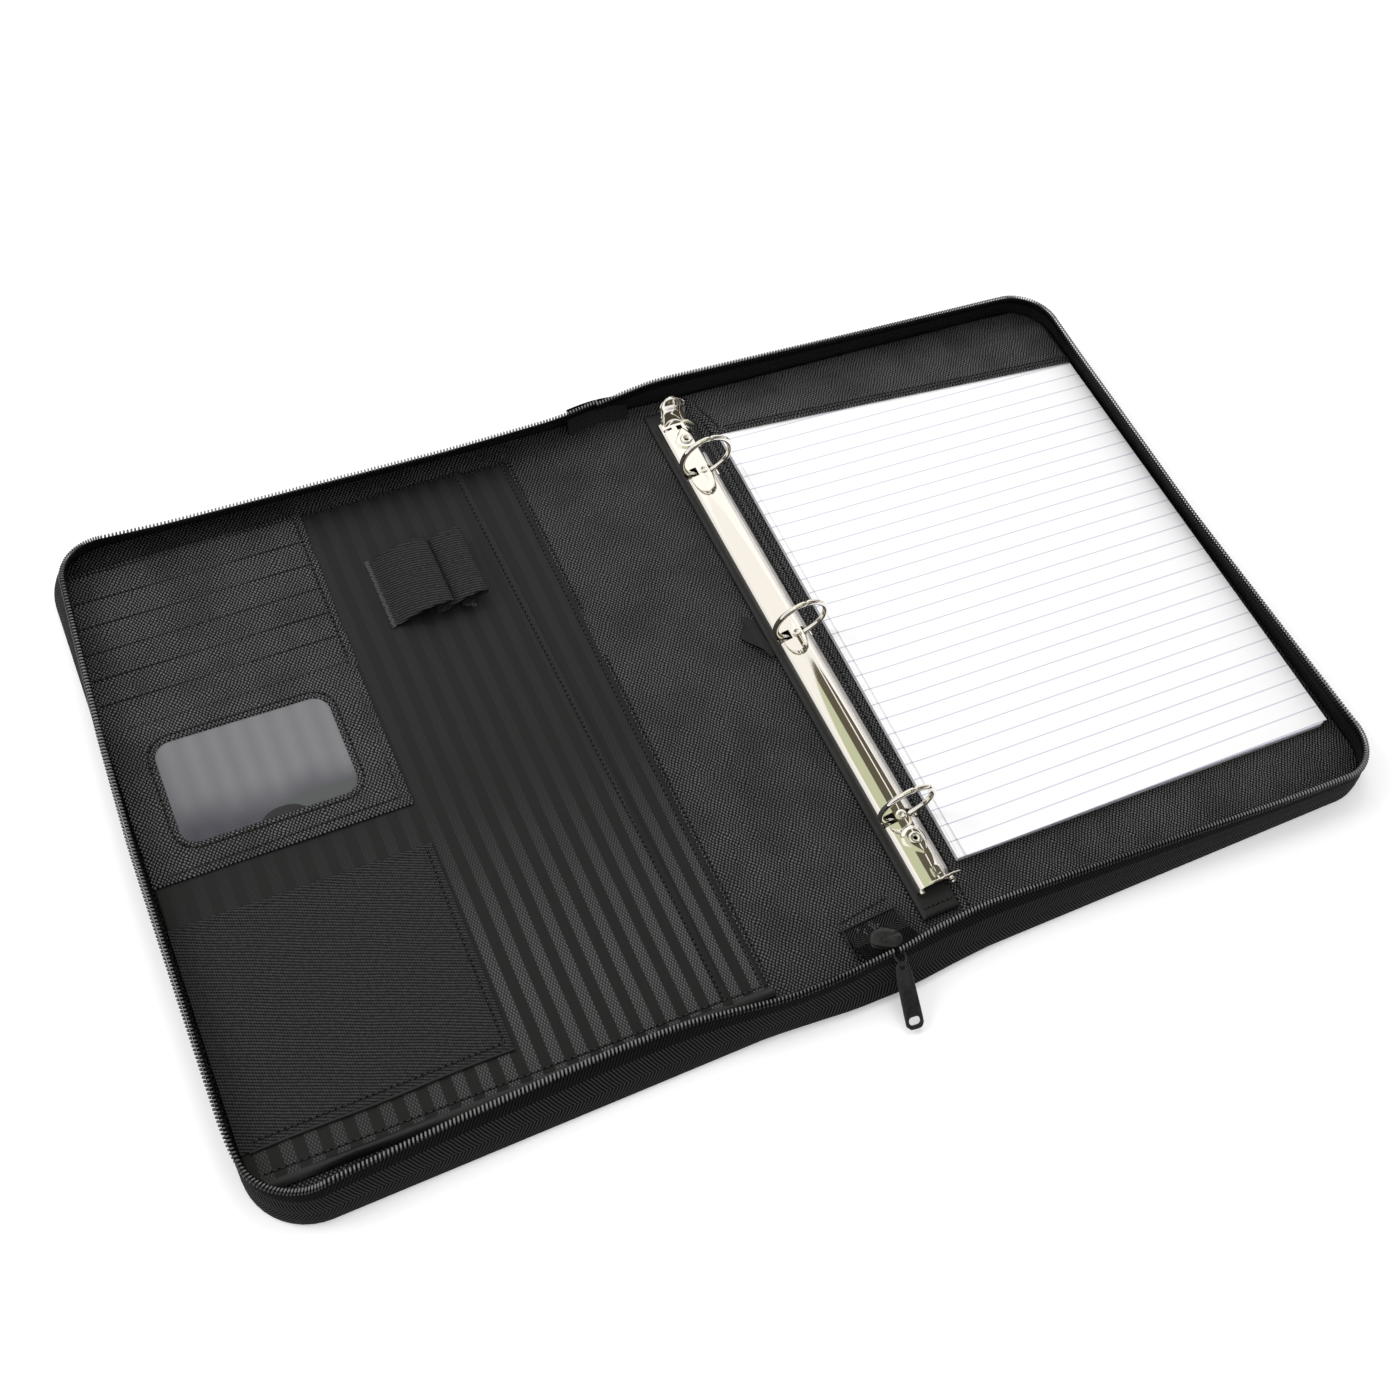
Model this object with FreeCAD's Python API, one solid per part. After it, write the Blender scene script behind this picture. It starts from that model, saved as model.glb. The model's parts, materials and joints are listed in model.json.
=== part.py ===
"""Zip-around portfolio case, lying open: two covers, a spine, a ring binder and a writing pad.

Millimetres. X runs from the front cover (negative) over the spine to the back cover (positive),
Y runs from the near end to the far end, and Z is up. The origin is the centre of the spine on
the surface that the case lies on.
"""
import FreeCAD, Part
import math
import os

from FreeCAD import Vector

# ---- driving dimensions -------------------------------------------------------------------

OPEN_WIDTH = 566.0          # across both covers and the spine
LENGTH = 344.0              # along the spine
SPINE_WIDTH = 42.0          # also the thickness of the closed case
CORNER_RADIUS = 28.0        # outer corners of each cover, in plan

SKIN = 0.9                  # embossed leatherette
FOAM = 0.6
BOARD = 1.3
SPINE_CARD = 0.3            # thin stiffener, so the spine can bow
LINING = 0.6
PANEL = 0.8                 # second layer of leatherette over the lining
GAP = 0.1                   # air between neighbouring layers on different bodies
CREASE_GAP = 0.2            # air beside a fold line
MITRE_GAP = 1.4             # air beside the walls' ends, which meet at 45 degrees when shut

WALL_TOP = 20.7             # top of the zip's elements; two of them meet when the case is shut
WALL_THICKNESS = 1.2
TAPE_THICKNESS = 0.8
GUSSET_TOP = 10.6           # where the binding ends and the zip tape starts
TAPE_TOP = 18.6
CHAIN_WIDTH = 2.2
END_LEAN = 8.0              # how far the near and far walls lean in at the top
SIDE_LEAN = 3.0             # how far the side wall leans in at the top
LAYER_INSET = 3.4           # inner layers stand this far in from the cover's edge
END_TAPE_FOOT = 16.0        # half widths of the folded tape at the spine's ends, below and above
END_TAPE_TIP = 4.6
NEAR_TAPE_Y = (141.5, 157.0)
FAR_TAPE_Y = (160.0, 166.0)

SLIDER = (-1.0, -156.0)     # centre of the slider, in plan
SLIDER_LENGTH = 14.0
SLIDER_WIDTH = 8.4
SLIDER_LOW = 15.4
SLIDER_TOP = 19.8
SLIDER_PLATE = 1.1
SLIDER_POST = 1.7           # radius
SLIDER_YAW = 25.0

PULLER_PIVOT = (0.0, -169.0, 17.2)
PULLER_YAW = 5.0
PULLER_DROP = 31.0
PULLER_LENGTH = 30.0
PULLER_WIDTH = 8.4
PULLER_PLATE = 1.3
PULLER_NECK = 3.4           # from the pivot to where the plate starts
PULLER_SLOT = (5.2, 2.8)    # length and width of the slot near its tip
PULLER_SLOT_INSET = 2.0
BAIL_WIRE = 0.7
BAIL_ARMS = (-1.7, 2.4)     # where the bail's two arms leave its cross bar
BAIL_REACH = 7.0
BAIL_RISE = 1.2
EYE_HALF = 0.8
EYE_CLEARANCE = 0.08
EYE_RADIUS = 2.0

RING_SPACING = 107.95       # three-hole punching, 4.25 inches
RING_X = 38.0
RING_Y = 5.0                # the middle ring
RING_RADIUS = 13.5          # centre line of the wire
RING_WIRE = 1.4             # radius of the wire
RING_HEIGHT = 23.4          # centre of the rings above the table

STRIP_X = (26.0, 44.6)
STRIP_LENGTH = 312.0
HOOK_X = (28.6, 42.6)
HOOK_LENGTH = 270.0
HOUSING_WIDTH = 20.0
HOUSING_LENGTH = 288.0
HOUSING_RISE = 6.5
HOUSING_SHEET = 0.8
RING_SLOT_X = (2.5, 9.0)    # each ring's slot in the housing, from its middle
RING_SLOT_WIDTH = 4.4
RING_SLOT_RISE = 2.6        # from the strip to the slot's low edge
MOUTH_WIDTH = 12.6          # the opening at the housing's far end, for the lever
MOUTH_DEPTH = 7.5
RIVET_PLACES = (-116.0, 134.0)
RIVET_RADIUS = 1.6
RIVET_HEAD = 3.1
RIVET_BORE = 0.9
RIVET_HEAD_HEIGHT = 0.7

STEM_X = 4.4                # a ring's upright stems, from the housing's middle
TIP_GAP = 0.1               # between the two half rings' tips
BLADE = 0.8
BLADE_PIVOT_X = 8.0
BLADE_SETBACK = 8.5         # from each end of the housing
BLADE_GAP = 0.3             # from the housing's middle
BLADE_RIVET_ROOM = 1.2

LEVER_SETBACK = 3.0         # of the lever's pivot from the housing's far end
LEVER_FOOT = (11.6, 1.2)    # width and thickness
LEVER_FOOT_Y = (-3.0, 5.2)  # from the pivot
LEVER_STAND = (20.0, 14.0, 1.1)
LEVER_STAND_FOOT = -5.5     # where the thumb blade is cut off
LEVER_STAND_PLACE = (7.2, 4.6)
LEVER_TILT = 68.0

TAB_ROOT_X = 27.8
TAB_TIP_X = (19.0, 16.0, 18.0)
TAB_Y = (-2.0, 26.0)
TAB_THICKNESS = 0.9

PAD_CENTRE = (166.0, 7.0)
PAD_WIDTH = 215.9           # letter size, 8.5 by 11 inches
PAD_LENGTH = 279.4
PAD_YAW = -1.0              # the pad lies slightly askew
PAD_HEAD = 12.0             # depth of the binding tape along its head
PAD_BOARD = 0.7
PAD_SHEETS = 3.3

BAND_X = (54.0, 278.2)
BAND_Y = (122.0, 166.0)
BAND_INSET = 4.6            # keeps its far corner inside the wall's round corner
BAND_SEAM = 0.7
PAD_PANEL_LEFT = 46.5

CARD_X = -164.0             # the edge of the card pockets nearest to the spine
CARD_Y = (-14.0, 157.0)
CARD_PITCH = 14.6
CARD_COUNT = 6
CARD_SLIT = 0.2             # between neighbouring card pockets
CARD_STEP = 0.95
ID_PANEL = 1.2
ID_CORNER = 6.0
FILM = 0.3
FILM_MARGIN = 4.0           # of the film behind the panel, around the window
ELASTIC = 1.1
ID_WINDOW_X = (-262.5, -184.0)
ID_WINDOW_Y = (1.0, 53.5)
ELASTIC_X = -166.0
ELASTIC_Y = (-136.0, -35.0)
BACK_POCKET_X = -54.0
FRONT_POCKET_X = -76.0
POCKET_Y = (-153.0, 157.0)
LOOP_Y = (78.0, 117.0)
WIDE_LOOP_X = (-139.0, -111.4)
WIDE_LOOP_HEIGHT = 8.4
NARROW_LOOP_X = (-110.6, -93.0)
NARROW_LOOP_HEIGHT = 9.0
LOOP_ANCHOR_X = (-142.6, -139.2)
LOOP_ANCHOR_HEIGHT = 1.6
LOOP_WALL = 0.9

# ---- derived levels -----------------------------------------------------------------------

HALF_WIDTH = OPEN_WIDTH / 2
HALF_LENGTH = LENGTH / 2
CREASE = SPINE_WIDTH / 2
COVER_TOP = SKIN + FOAM + BOARD + LINING
SPINE_TOP = SKIN + SPINE_CARD + LINING
PANEL_TOP = COVER_TOP + PANEL
FABRIC = 0.5                # thin pocket fabric
HOOK_BASE = COVER_TOP + 0.7 + GAP
HOOK_TOP = HOOK_BASE + 0.6
STRIP_TOP = HOOK_TOP + 1.7
STRIP_SKIN = 0.35
HOUSING_TOP = STRIP_TOP + HOUSING_RISE
BLADE_PIVOT_Z = STRIP_TOP + 1.1
LEVER_PIVOT = (RING_Y + HOUSING_LENGTH / 2 - LEVER_SETBACK, STRIP_TOP + 2.6)


# ---- helpers ------------------------------------------------------------------------------

def block(x, y, z):
    """A box from three (low, high) pairs."""
    return Part.makeBox(x[1] - x[0], y[1] - y[0], z[1] - z[0], Vector(x[0], y[0], z[0]))


def mirrored(shape):
    """The same shape on the other side of the spine."""
    return shape.mirror(Vector(0, 0, 0), Vector(1, 0, 0))


def about_middle(centre, length):
    """The (low, high) pair of a length centred on a point."""
    return (centre - length / 2, centre + length / 2)


def polygon_face(points):
    """A flat face from a list of corners."""
    return Part.Face(Part.makePolygon(points + points[:1]))


def cover_wire(start, side_inset, end_inset, z):
    """The back cover's outline at a height, from the fold line out to two round corners."""
    right = HALF_WIDTH - side_inset
    far = HALF_LENGTH - end_inset
    radius = CORNER_RADIUS - (side_inset + end_inset) / 2
    bend = radius * (1 - math.cos(math.radians(45)))
    near_start = Vector(start, -far, z)
    near_tangent = Vector(right - radius, -far, z)
    near_middle = Vector(right - bend, -far + bend, z)
    near_end = Vector(right, -far + radius, z)
    far_end = Vector(right, far - radius, z)
    far_middle = Vector(right - bend, far - bend, z)
    far_tangent = Vector(right - radius, far, z)
    far_start = Vector(start, far, z)
    return Part.Wire([
        Part.LineSegment(near_start, near_tangent).toShape(),
        Part.Arc(near_tangent, near_middle, near_end).toShape(),
        Part.LineSegment(near_end, far_end).toShape(),
        Part.Arc(far_end, far_middle, far_tangent).toShape(),
        Part.LineSegment(far_tangent, far_start).toShape(),
        Part.LineSegment(far_start, near_start).toShape(),
    ])


def cover_layer(low, high, inset):
    """One flat layer of the back cover; its fold edge is set back by the layer's height."""
    start = CREASE + high + CREASE_GAP
    face = Part.Face(cover_wire(start, inset, inset, low))
    return face.extrude(Vector(0, 0, high - low))


def leaning_block(start, low, high, depth):
    """A solid block inside the leaning wall surface that lies a depth in from its outside."""
    wires = []
    for z in (low, high):
        share = z / WALL_TOP
        wires.append(cover_wire(start, SIDE_LEAN * share + depth, END_LEAN * share + depth, z))
    return Part.makeLoft(wires, True, True)


def wall_band(low, high, depth, thickness):
    """A band of the back cover's wall between two heights, cut back at 45 degrees by the fold."""
    outer = leaning_block(CREASE, low, high, depth)
    inner = leaning_block(CREASE - 1, low, high, depth + thickness)
    margin = 2.0
    reach = WALL_TOP + margin
    line = CREASE + MITRE_GAP
    fold = polygon_face([
        Vector(line - margin, -HALF_LENGTH - margin, -margin),
        Vector(line + reach, -HALF_LENGTH - margin, reach),
        Vector(line - margin, -HALF_LENGTH - margin, reach),
    ]).extrude(Vector(0, LENGTH + 2 * margin, 0))
    return outer.cut(inner).cut(fold)


def stadium(centre, length, width, z, height):
    """An upright slot-shaped solid, long in Y."""
    straight = (length - width) / 2
    radius = width / 2
    x, y = centre
    body = block((x - radius, x + radius), (y - straight, y + straight), (z, z + height))
    for end in (-straight, straight):
        body = body.fuse(Part.makeCylinder(radius, height, Vector(x, y + end, z)))
    return body.removeSplitter()


# ---- covers and spine ---------------------------------------------------------------------

def cover_parts(side):
    """The layers and walls that both covers have, named after the side they are on."""
    foam_top = SKIN + FOAM
    board_top = foam_top + BOARD
    parts = {
        "outer_skin": cover_layer(0, SKIN, 0),
        "foam": cover_layer(SKIN, foam_top, LAYER_INSET),
        "board": cover_layer(foam_top, board_top, LAYER_INSET),
        "lining": cover_layer(board_top, COVER_TOP, LAYER_INSET),
        "gusset": wall_band(SKIN, GUSSET_TOP, 0, WALL_THICKNESS),
        "zipper_tape": wall_band(GUSSET_TOP, TAPE_TOP, 0.2, TAPE_THICKNESS),
        "zipper_chain": wall_band(TAPE_TOP, WALL_TOP, -0.5, CHAIN_WIDTH),
    }
    place = mirrored if side == "front" else Part.Shape.copy
    return {f"{side}_{name}": place(shape) for name, shape in parts.items()}


def spine_layer(low, high):
    """One flat layer of the spine, set back from both folds by its height."""
    half = CREASE - high - CREASE_GAP
    return block((-half, half), (-HALF_LENGTH, HALF_LENGTH), (low, high))


def spine_end_tape(sign, foot_y, top_y):
    """The folded tape at one end of the spine; it narrows upwards so the folds can close."""
    face = polygon_face([
        Vector(-END_TAPE_FOOT, foot_y, SPINE_TOP),
        Vector(END_TAPE_FOOT, foot_y, SPINE_TOP),
        Vector(END_TAPE_TIP, top_y, SLIDER_LOW),
        Vector(-END_TAPE_TIP, top_y, SLIDER_LOW),
    ])
    tape = face.extrude(Vector(0, TAPE_THICKNESS, 0))
    return tape if sign > 0 else tape.mirror(Vector(0, 0, 0), Vector(0, 1, 0))


def spine_parts():
    """The spine's own layers and the tape at its ends."""
    return {
        "spine_outer_skin": spine_layer(0, SKIN),
        "spine_card": spine_layer(SKIN, SKIN + SPINE_CARD),
        "spine_lining": spine_layer(SKIN + SPINE_CARD, SPINE_TOP),
        "near_end_tape": spine_end_tape(-1, *NEAR_TAPE_Y),
        "far_end_tape": spine_end_tape(1, *FAR_TAPE_Y),
    }


# ---- zip slider ---------------------------------------------------------------------------

def zip_slider():
    """Two rounded plates held apart by a post; the lower plate stands on the folded tape end."""
    x, y = SLIDER
    upper = stadium(SLIDER, SLIDER_LENGTH, SLIDER_WIDTH, SLIDER_TOP - SLIDER_PLATE, SLIDER_PLATE)
    lower = stadium(SLIDER, SLIDER_LENGTH, SLIDER_WIDTH, SLIDER_LOW, SLIDER_PLATE)
    post = Part.makeCylinder(SLIDER_POST, SLIDER_TOP - SLIDER_LOW, Vector(x, y, SLIDER_LOW))
    slider = upper.fuse(lower).fuse(post).removeSplitter()
    slider.rotate(Vector(x, y, 0), Vector(0, 0, 1), SLIDER_YAW)
    return slider


def slider_bail():
    """A wire loop: a cross bar on the pull's pivot and two arms back to the slider."""
    along = Vector(math.cos(math.radians(PULLER_YAW)), -math.sin(math.radians(PULLER_YAW)), 0)
    pivot = Vector(*PULLER_PIVOT)
    start = pivot + along * BAIL_ARMS[0]
    bail = Part.makeCylinder(BAIL_WIRE, BAIL_ARMS[1] - BAIL_ARMS[0], start, along)
    for place in BAIL_ARMS:
        corner = pivot + along * place
        arm = Part.makeCylinder(BAIL_WIRE, math.hypot(BAIL_REACH, BAIL_RISE), corner,
                                Vector(0, BAIL_REACH, BAIL_RISE))
        bail = bail.fuse(arm).fuse(Part.makeSphere(BAIL_WIRE, corner))
    return bail.cut(zip_slider())


def zip_puller():
    """A flat pull with a round eye at the bail and a rounded slot near its tip."""
    plate_z = -PULLER_PLATE / 2
    plate = stadium((0, -PULLER_LENGTH / 2 - 1.0), PULLER_LENGTH, PULLER_WIDTH, plate_z, PULLER_PLATE)
    plate = plate.cut(block((-PULLER_WIDTH, PULLER_WIDTH), (-PULLER_NECK, 20), (-5, 5)))
    eye = Part.makeCylinder(EYE_RADIUS, 2 * EYE_HALF, Vector(-EYE_HALF, 0, 0), Vector(1, 0, 0))
    neck = block((-EYE_HALF, EYE_HALF), (-PULLER_NECK - 1, -EYE_RADIUS / 2), (plate_z, -plate_z))
    hole = Part.makeCylinder(BAIL_WIRE + EYE_CLEARANCE, 2 * EYE_HALF + 2,
                             Vector(-EYE_HALF - 1, 0, 0), Vector(1, 0, 0))
    slot = stadium((0, 0), *PULLER_SLOT, -3, 6)
    slot.rotate(Vector(0, 0, 0), Vector(0, 0, 1), 90)
    slot.translate(Vector(0, -PULLER_LENGTH + PULLER_SLOT_INSET, 0))
    puller = plate.fuse(neck).fuse(eye).cut(hole).cut(slot)
    puller.rotate(Vector(0, 0, 0), Vector(1, 0, 0), PULLER_DROP)
    puller.rotate(Vector(0, 0, 0), Vector(0, 0, 1), -PULLER_YAW)
    puller.translate(Vector(*PULLER_PIVOT))
    return puller


# ---- ring binder --------------------------------------------------------------------------

def beside_middle(side, near, far):
    """The (low, high) pair of X between two distances from the housing's middle."""
    return tuple(sorted((RING_X + side * near, RING_X + side * far)))


def ring_places():
    """Y of the three rings."""
    return [RING_Y + step * RING_SPACING for step in (-1, 0, 1)]


def housing_arch(radius_cut, length):
    """A circular segment of the housing's section, swept along Y."""
    half = HOUSING_WIDTH / 2
    radius = (half * half + HOUSING_RISE * HOUSING_RISE) / (2 * HOUSING_RISE)
    centre = HOUSING_TOP - radius
    start = RING_Y - length / 2
    return Part.makeCylinder(radius - radius_cut, length, Vector(RING_X, start, centre), Vector(0, 1, 0))


def ring_housing():
    """Arched sheet with slots for the rings, holes for the rivets and lips along its edges."""
    arch = housing_arch(0, HOUSING_LENGTH).cut(housing_arch(HOUSING_SHEET, HOUSING_LENGTH + 2))
    above = block((RING_X - 30, RING_X + 30), (-200, 200), (STRIP_TOP, STRIP_TOP + 30))
    arch = arch.common(above)
    for y in ring_places():
        for side in (-1, 1):
            x = beside_middle(side, *RING_SLOT_X)
            z = (STRIP_TOP + RING_SLOT_RISE, HOUSING_TOP + 1)
            arch = arch.cut(block(x, about_middle(y, RING_SLOT_WIDTH), z))
    for y in RIVET_PLACES:
        hole = Part.makeCylinder(RIVET_RADIUS, 20, Vector(RING_X, y, STRIP_TOP))
        arch = arch.cut(hole)
    far = RING_Y + HOUSING_LENGTH / 2
    mouth_y = (far - MOUTH_DEPTH, far + 1)
    mouth = block(about_middle(RING_X, MOUTH_WIDTH), mouth_y, (STRIP_TOP, HOUSING_TOP + 1))
    return arch.cut(mouth)


def housing_rivets():
    """Tubular rivets from the strip up through the housing, with a rolled head."""
    rivets = []
    for y in RIVET_PLACES:
        tube = Part.makeCylinder(RIVET_RADIUS - 0.05, HOUSING_RISE + 0.4, Vector(RING_X, y, STRIP_TOP))
        head = Part.makeCylinder(RIVET_HEAD, RIVET_HEAD_HEIGHT, Vector(RING_X, y, HOUSING_TOP + 0.05))
        bore = Part.makeCylinder(RIVET_BORE, 20, Vector(RING_X, y, STRIP_TOP - 1))
        rivets.append(tube.fuse(head).cut(bore))
    return Part.Compound(rivets)


def hinge_plate(side):
    """One blade: a flat strip from the housing's edge nearly to its middle, open at the rivets."""
    x = beside_middle(side, BLADE_GAP, BLADE_PIVOT_X)
    z = (BLADE_PIVOT_Z - BLADE / 2, BLADE_PIVOT_Z + BLADE / 2)
    blade = block(x, about_middle(RING_Y, HOUSING_LENGTH - 2 * BLADE_SETBACK), z)
    room = RIVET_RADIUS + BLADE_RIVET_ROOM
    for y in RIVET_PLACES:
        blade = blade.cut(Part.makeCylinder(room, 20, Vector(RING_X, y, STRIP_TOP)))
    return blade


def half_rings(side):
    """Three half rings: a wire from the closing point down through the slot to the blade."""
    sweep = 180 - math.degrees(math.asin(STEM_X / RING_RADIUS))
    rings = []
    for y in ring_places():
        centre = Vector(RING_X, y, RING_HEIGHT)
        tip = Part.Wire(Part.makeCircle(RING_WIRE, centre + Vector(0, 0, RING_RADIUS), Vector(1, 0, 0)))
        ring = Part.Face(tip).revolve(centre, Vector(0, side, 0), sweep)
        stem_low = BLADE_PIVOT_Z + BLADE / 2
        stem_top = RING_HEIGHT - math.sqrt(RING_RADIUS ** 2 - STEM_X ** 2)
        stem_x = RING_X + side * STEM_X
        stem = Part.makeCylinder(RING_WIRE, stem_top - stem_low, Vector(stem_x, y, stem_low))
        knee = Part.makeSphere(RING_WIRE, Vector(stem_x, y, stem_top))
        whole = ring.fuse(knee).fuse(stem)
        whole.translate(Vector(side * TIP_GAP / 2, 0, 0))
        rings.append(whole)
    return Part.Compound(rings)


def opener_lever():
    """A bent thumb plate: a foot in the housing's mouth and a rounded blade standing up."""
    y, z = LEVER_PIVOT
    width, thickness = LEVER_FOOT
    foot_y = (y + LEVER_FOOT_Y[0], y + LEVER_FOOT_Y[1])
    foot = block(about_middle(RING_X, width), foot_y, about_middle(z, thickness))
    length, breadth, sheet = LEVER_STAND
    stand = stadium((RING_X, 0), length, breadth, 0, sheet)
    stand = stand.common(block(about_middle(RING_X, length), (LEVER_STAND_FOOT, length), (-1, 3)))
    stand.rotate(Vector(RING_X, 0, 0), Vector(1, 0, 0), LEVER_TILT)
    stand.translate(Vector(0, y + LEVER_STAND_PLACE[0], z + LEVER_STAND_PLACE[1]))
    return foot.fuse(stand)


def ring_binder_parts():
    """Everything that lifts off with the ring binder."""
    strip_y = about_middle(RING_Y, STRIP_LENGTH)
    wrap = block(STRIP_X, strip_y, (HOOK_TOP, STRIP_TOP))
    core = block((STRIP_X[0] + STRIP_SKIN, STRIP_X[1] - STRIP_SKIN),
                 (strip_y[0] + STRIP_SKIN, strip_y[1] - STRIP_SKIN),
                 (HOOK_TOP + STRIP_SKIN, STRIP_TOP - STRIP_SKIN))
    hook_y = about_middle(RING_Y, HOOK_LENGTH)
    return {
        "loop_pad": block(HOOK_X, hook_y, (COVER_TOP, HOOK_BASE - GAP)),
        "hook_pad": block(HOOK_X, hook_y, (HOOK_BASE, HOOK_TOP)),
        "binder_strip": wrap.cut(core),
        "binder_strip_board": core,
        "pull_tab": pull_tab(),
        "ring_housing": ring_housing(),
        "housing_rivets": housing_rivets(),
        "left_hinge_plate": hinge_plate(-1),
        "right_hinge_plate": hinge_plate(1),
        "left_half_rings": half_rings(-1),
        "right_half_rings": half_rings(1),
        "opener_lever": opener_lever(),
    }


def pull_tab():
    """A limp tab that pokes out from under the strip at the middle ring."""
    z = COVER_TOP + 0.3
    near, far = TAB_Y
    face = polygon_face([
        Vector(TAB_ROOT_X, near, z),
        Vector(TAB_ROOT_X, far, z),
        Vector(TAB_TIP_X[0], far, z),
        Vector(TAB_TIP_X[1], near + 6.0, z),
        Vector(TAB_TIP_X[2], near, z),
    ])
    return face.extrude(Vector(0, 0, TAB_THICKNESS))


# ---- writing pad --------------------------------------------------------------------------

def pad_layer(low, high, near_cut=0.0):
    """A layer of the pad between two heights, without the given length at its near end."""
    near = -PAD_LENGTH / 2 + near_cut
    layer = block(about_middle(0, PAD_WIDTH), (near, PAD_LENGTH / 2), (low, high))
    layer.rotate(Vector(0, 0, 0), Vector(0, 0, 1), PAD_YAW)
    layer.translate(Vector(PAD_CENTRE[0], PAD_CENTRE[1], 0))
    return layer


def writing_pad_parts():
    """The pad, the panel behind it and the band that its head slides under."""
    base = PANEL_TOP + GAP
    board_top = base + PAD_BOARD
    sheets_top = board_top + PAD_SHEETS
    tape_top = sheets_top + 0.2
    band_under = tape_top + 2 * GAP
    band_top = band_under + PANEL
    panel = cover_layer(COVER_TOP, PANEL_TOP, LAYER_INSET + 0.4)
    panel = panel.cut(block((0, PAD_PANEL_LEFT), (-200, 200), (0, 20)))
    band = block(BAND_X, BAND_Y, (PANEL_TOP, band_top)).common(cover_layer(0, band_top, BAND_INSET))
    room = block((BAND_X[0] + BAND_SEAM, BAND_X[1] - BAND_SEAM),
                 (BAND_Y[0] - BAND_SEAM, BAND_Y[1] - BAND_SEAM), (0, band_under))
    return {
        "pad_panel": panel,
        "pad_band": band.cut(room),
        "pad_backboard": pad_layer(base, board_top),
        "pad_sheets": pad_layer(board_top, sheets_top),
        "pad_head_tape": pad_layer(sheets_top, tape_top, PAD_LENGTH - PAD_HEAD),
    }


# ---- front cover's organiser --------------------------------------------------------------

def organiser_edge():
    """X of the organiser's outer edge, just inside the side wall."""
    return -(HALF_WIDTH - LAYER_INSET - 1.4)


def pocket_parts():
    """Two full-height pocket layers, the card pockets, the window and the elastic pocket."""
    left = organiser_edge()
    back_top = COVER_TOP + FABRIC
    front_top = back_top + FABRIC
    pockets = {
        "back_pocket": rounded_panel((left, BACK_POCKET_X), POCKET_Y, (COVER_TOP, back_top)),
        "front_pocket": rounded_panel((left, FRONT_POCKET_X), POCKET_Y, (back_top, front_top)),
    }
    for index in range(CARD_COUNT):
        low = CARD_Y[1] - CARD_PITCH * (index + 1)
        pockets[f"card_slot_{index + 1}"] = rounded_panel(
            (left, CARD_X), (low, low + CARD_PITCH - CARD_SLIT), (front_top, front_top + CARD_STEP))
    id_top = CARD_Y[1] - CARD_PITCH * CARD_COUNT - CARD_SLIT
    id_pocket = block((left, CARD_X), (CARD_Y[0], id_top), (front_top, front_top + ID_PANEL))
    opening = block(ID_WINDOW_X, ID_WINDOW_Y, (0, 20))
    opening = opening.makeFillet(ID_CORNER, [edge for edge in opening.Edges if is_upright(edge)])
    film = block((ID_WINDOW_X[0] - FILM_MARGIN, ID_WINDOW_X[1] + FILM_MARGIN),
                 (ID_WINDOW_Y[0] - FILM_MARGIN, ID_WINDOW_Y[1] + FILM_MARGIN),
                 (front_top, front_top + FILM))
    pockets["id_pocket"] = id_pocket.cut(opening).cut(film)
    pockets["id_window"] = film
    pockets["elastic_pocket"] = block((left, ELASTIC_X), ELASTIC_Y, (front_top, front_top + ELASTIC))
    return pockets


def is_upright(edge):
    """True for an edge that runs along Z."""
    ends = [vertex.Point for vertex in edge.Vertexes]
    return abs(ends[0].z - ends[-1].z) > 1e-6


def rounded_panel(x, y, z):
    """A flat panel that keeps inside the cover's rounded corners."""
    panel = block(x, y, z)
    keep = cover_layer(0, 15, LAYER_INSET + 1.4)
    return panel.common(mirrored(keep))


def pen_loops():
    """The two loops and the stitched bar that holds them."""
    low = COVER_TOP + 2 * FABRIC
    return {
        "pen_loop_wide": hollow_loop(WIDE_LOOP_X, WIDE_LOOP_HEIGHT),
        "pen_loop_narrow": hollow_loop(NARROW_LOOP_X, NARROW_LOOP_HEIGHT),
        "pen_loop_anchor": block(LOOP_ANCHOR_X, LOOP_Y, (low, low + LOOP_ANCHOR_HEIGHT)),
    }


def hollow_loop(x, height):
    """A tube of elastic along Y: steep on the spine side, sloping down on the other."""
    base = COVER_TOP + 2 * FABRIC

    def section(inset):
        low = base + inset
        high = base + height - inset
        left = x[0] + 2.2 * inset
        right = x[1] - inset
        return [
            Vector(left, 0, low),
            Vector(right - 3, 0, low),
            Vector(right, 0, high - 2),
            Vector(right - 4, 0, high),
            Vector((left + right) / 2 - 3, 0, low + 0.72 * (high - low)),
        ]

    outer = polygon_face(section(0)).extrude(Vector(0, LOOP_Y[1] - LOOP_Y[0], 0))
    inner = polygon_face(section(LOOP_WALL)).extrude(Vector(0, LOOP_Y[1] - LOOP_Y[0] + 4, 0))
    inner.translate(Vector(0, -2, 0))
    loop = outer.cut(inner)
    loop.translate(Vector(0, LOOP_Y[0], 0))
    return loop


# ---- the whole case -----------------------------------------------------------------------

def all_parts():
    """Every named sub-part of the case."""
    parts = {}
    parts.update(cover_parts("back"))
    parts.update(cover_parts("front"))
    parts.update(spine_parts())
    parts["zip_slider"] = zip_slider()
    parts["slider_bail"] = slider_bail()
    parts["zip_puller"] = zip_puller()
    parts.update(ring_binder_parts())
    parts.update(writing_pad_parts())
    parts.update(pocket_parts())
    parts.update(pen_loops())
    return parts


os.makedirs("parts", exist_ok=True)
for node, shape in all_parts().items():
    shape.exportStep(f"parts/{node}.step")
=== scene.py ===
import json
import math
import random

import bmesh
import bpy
import numpy as np
from mathutils import Matrix, Vector

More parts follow.
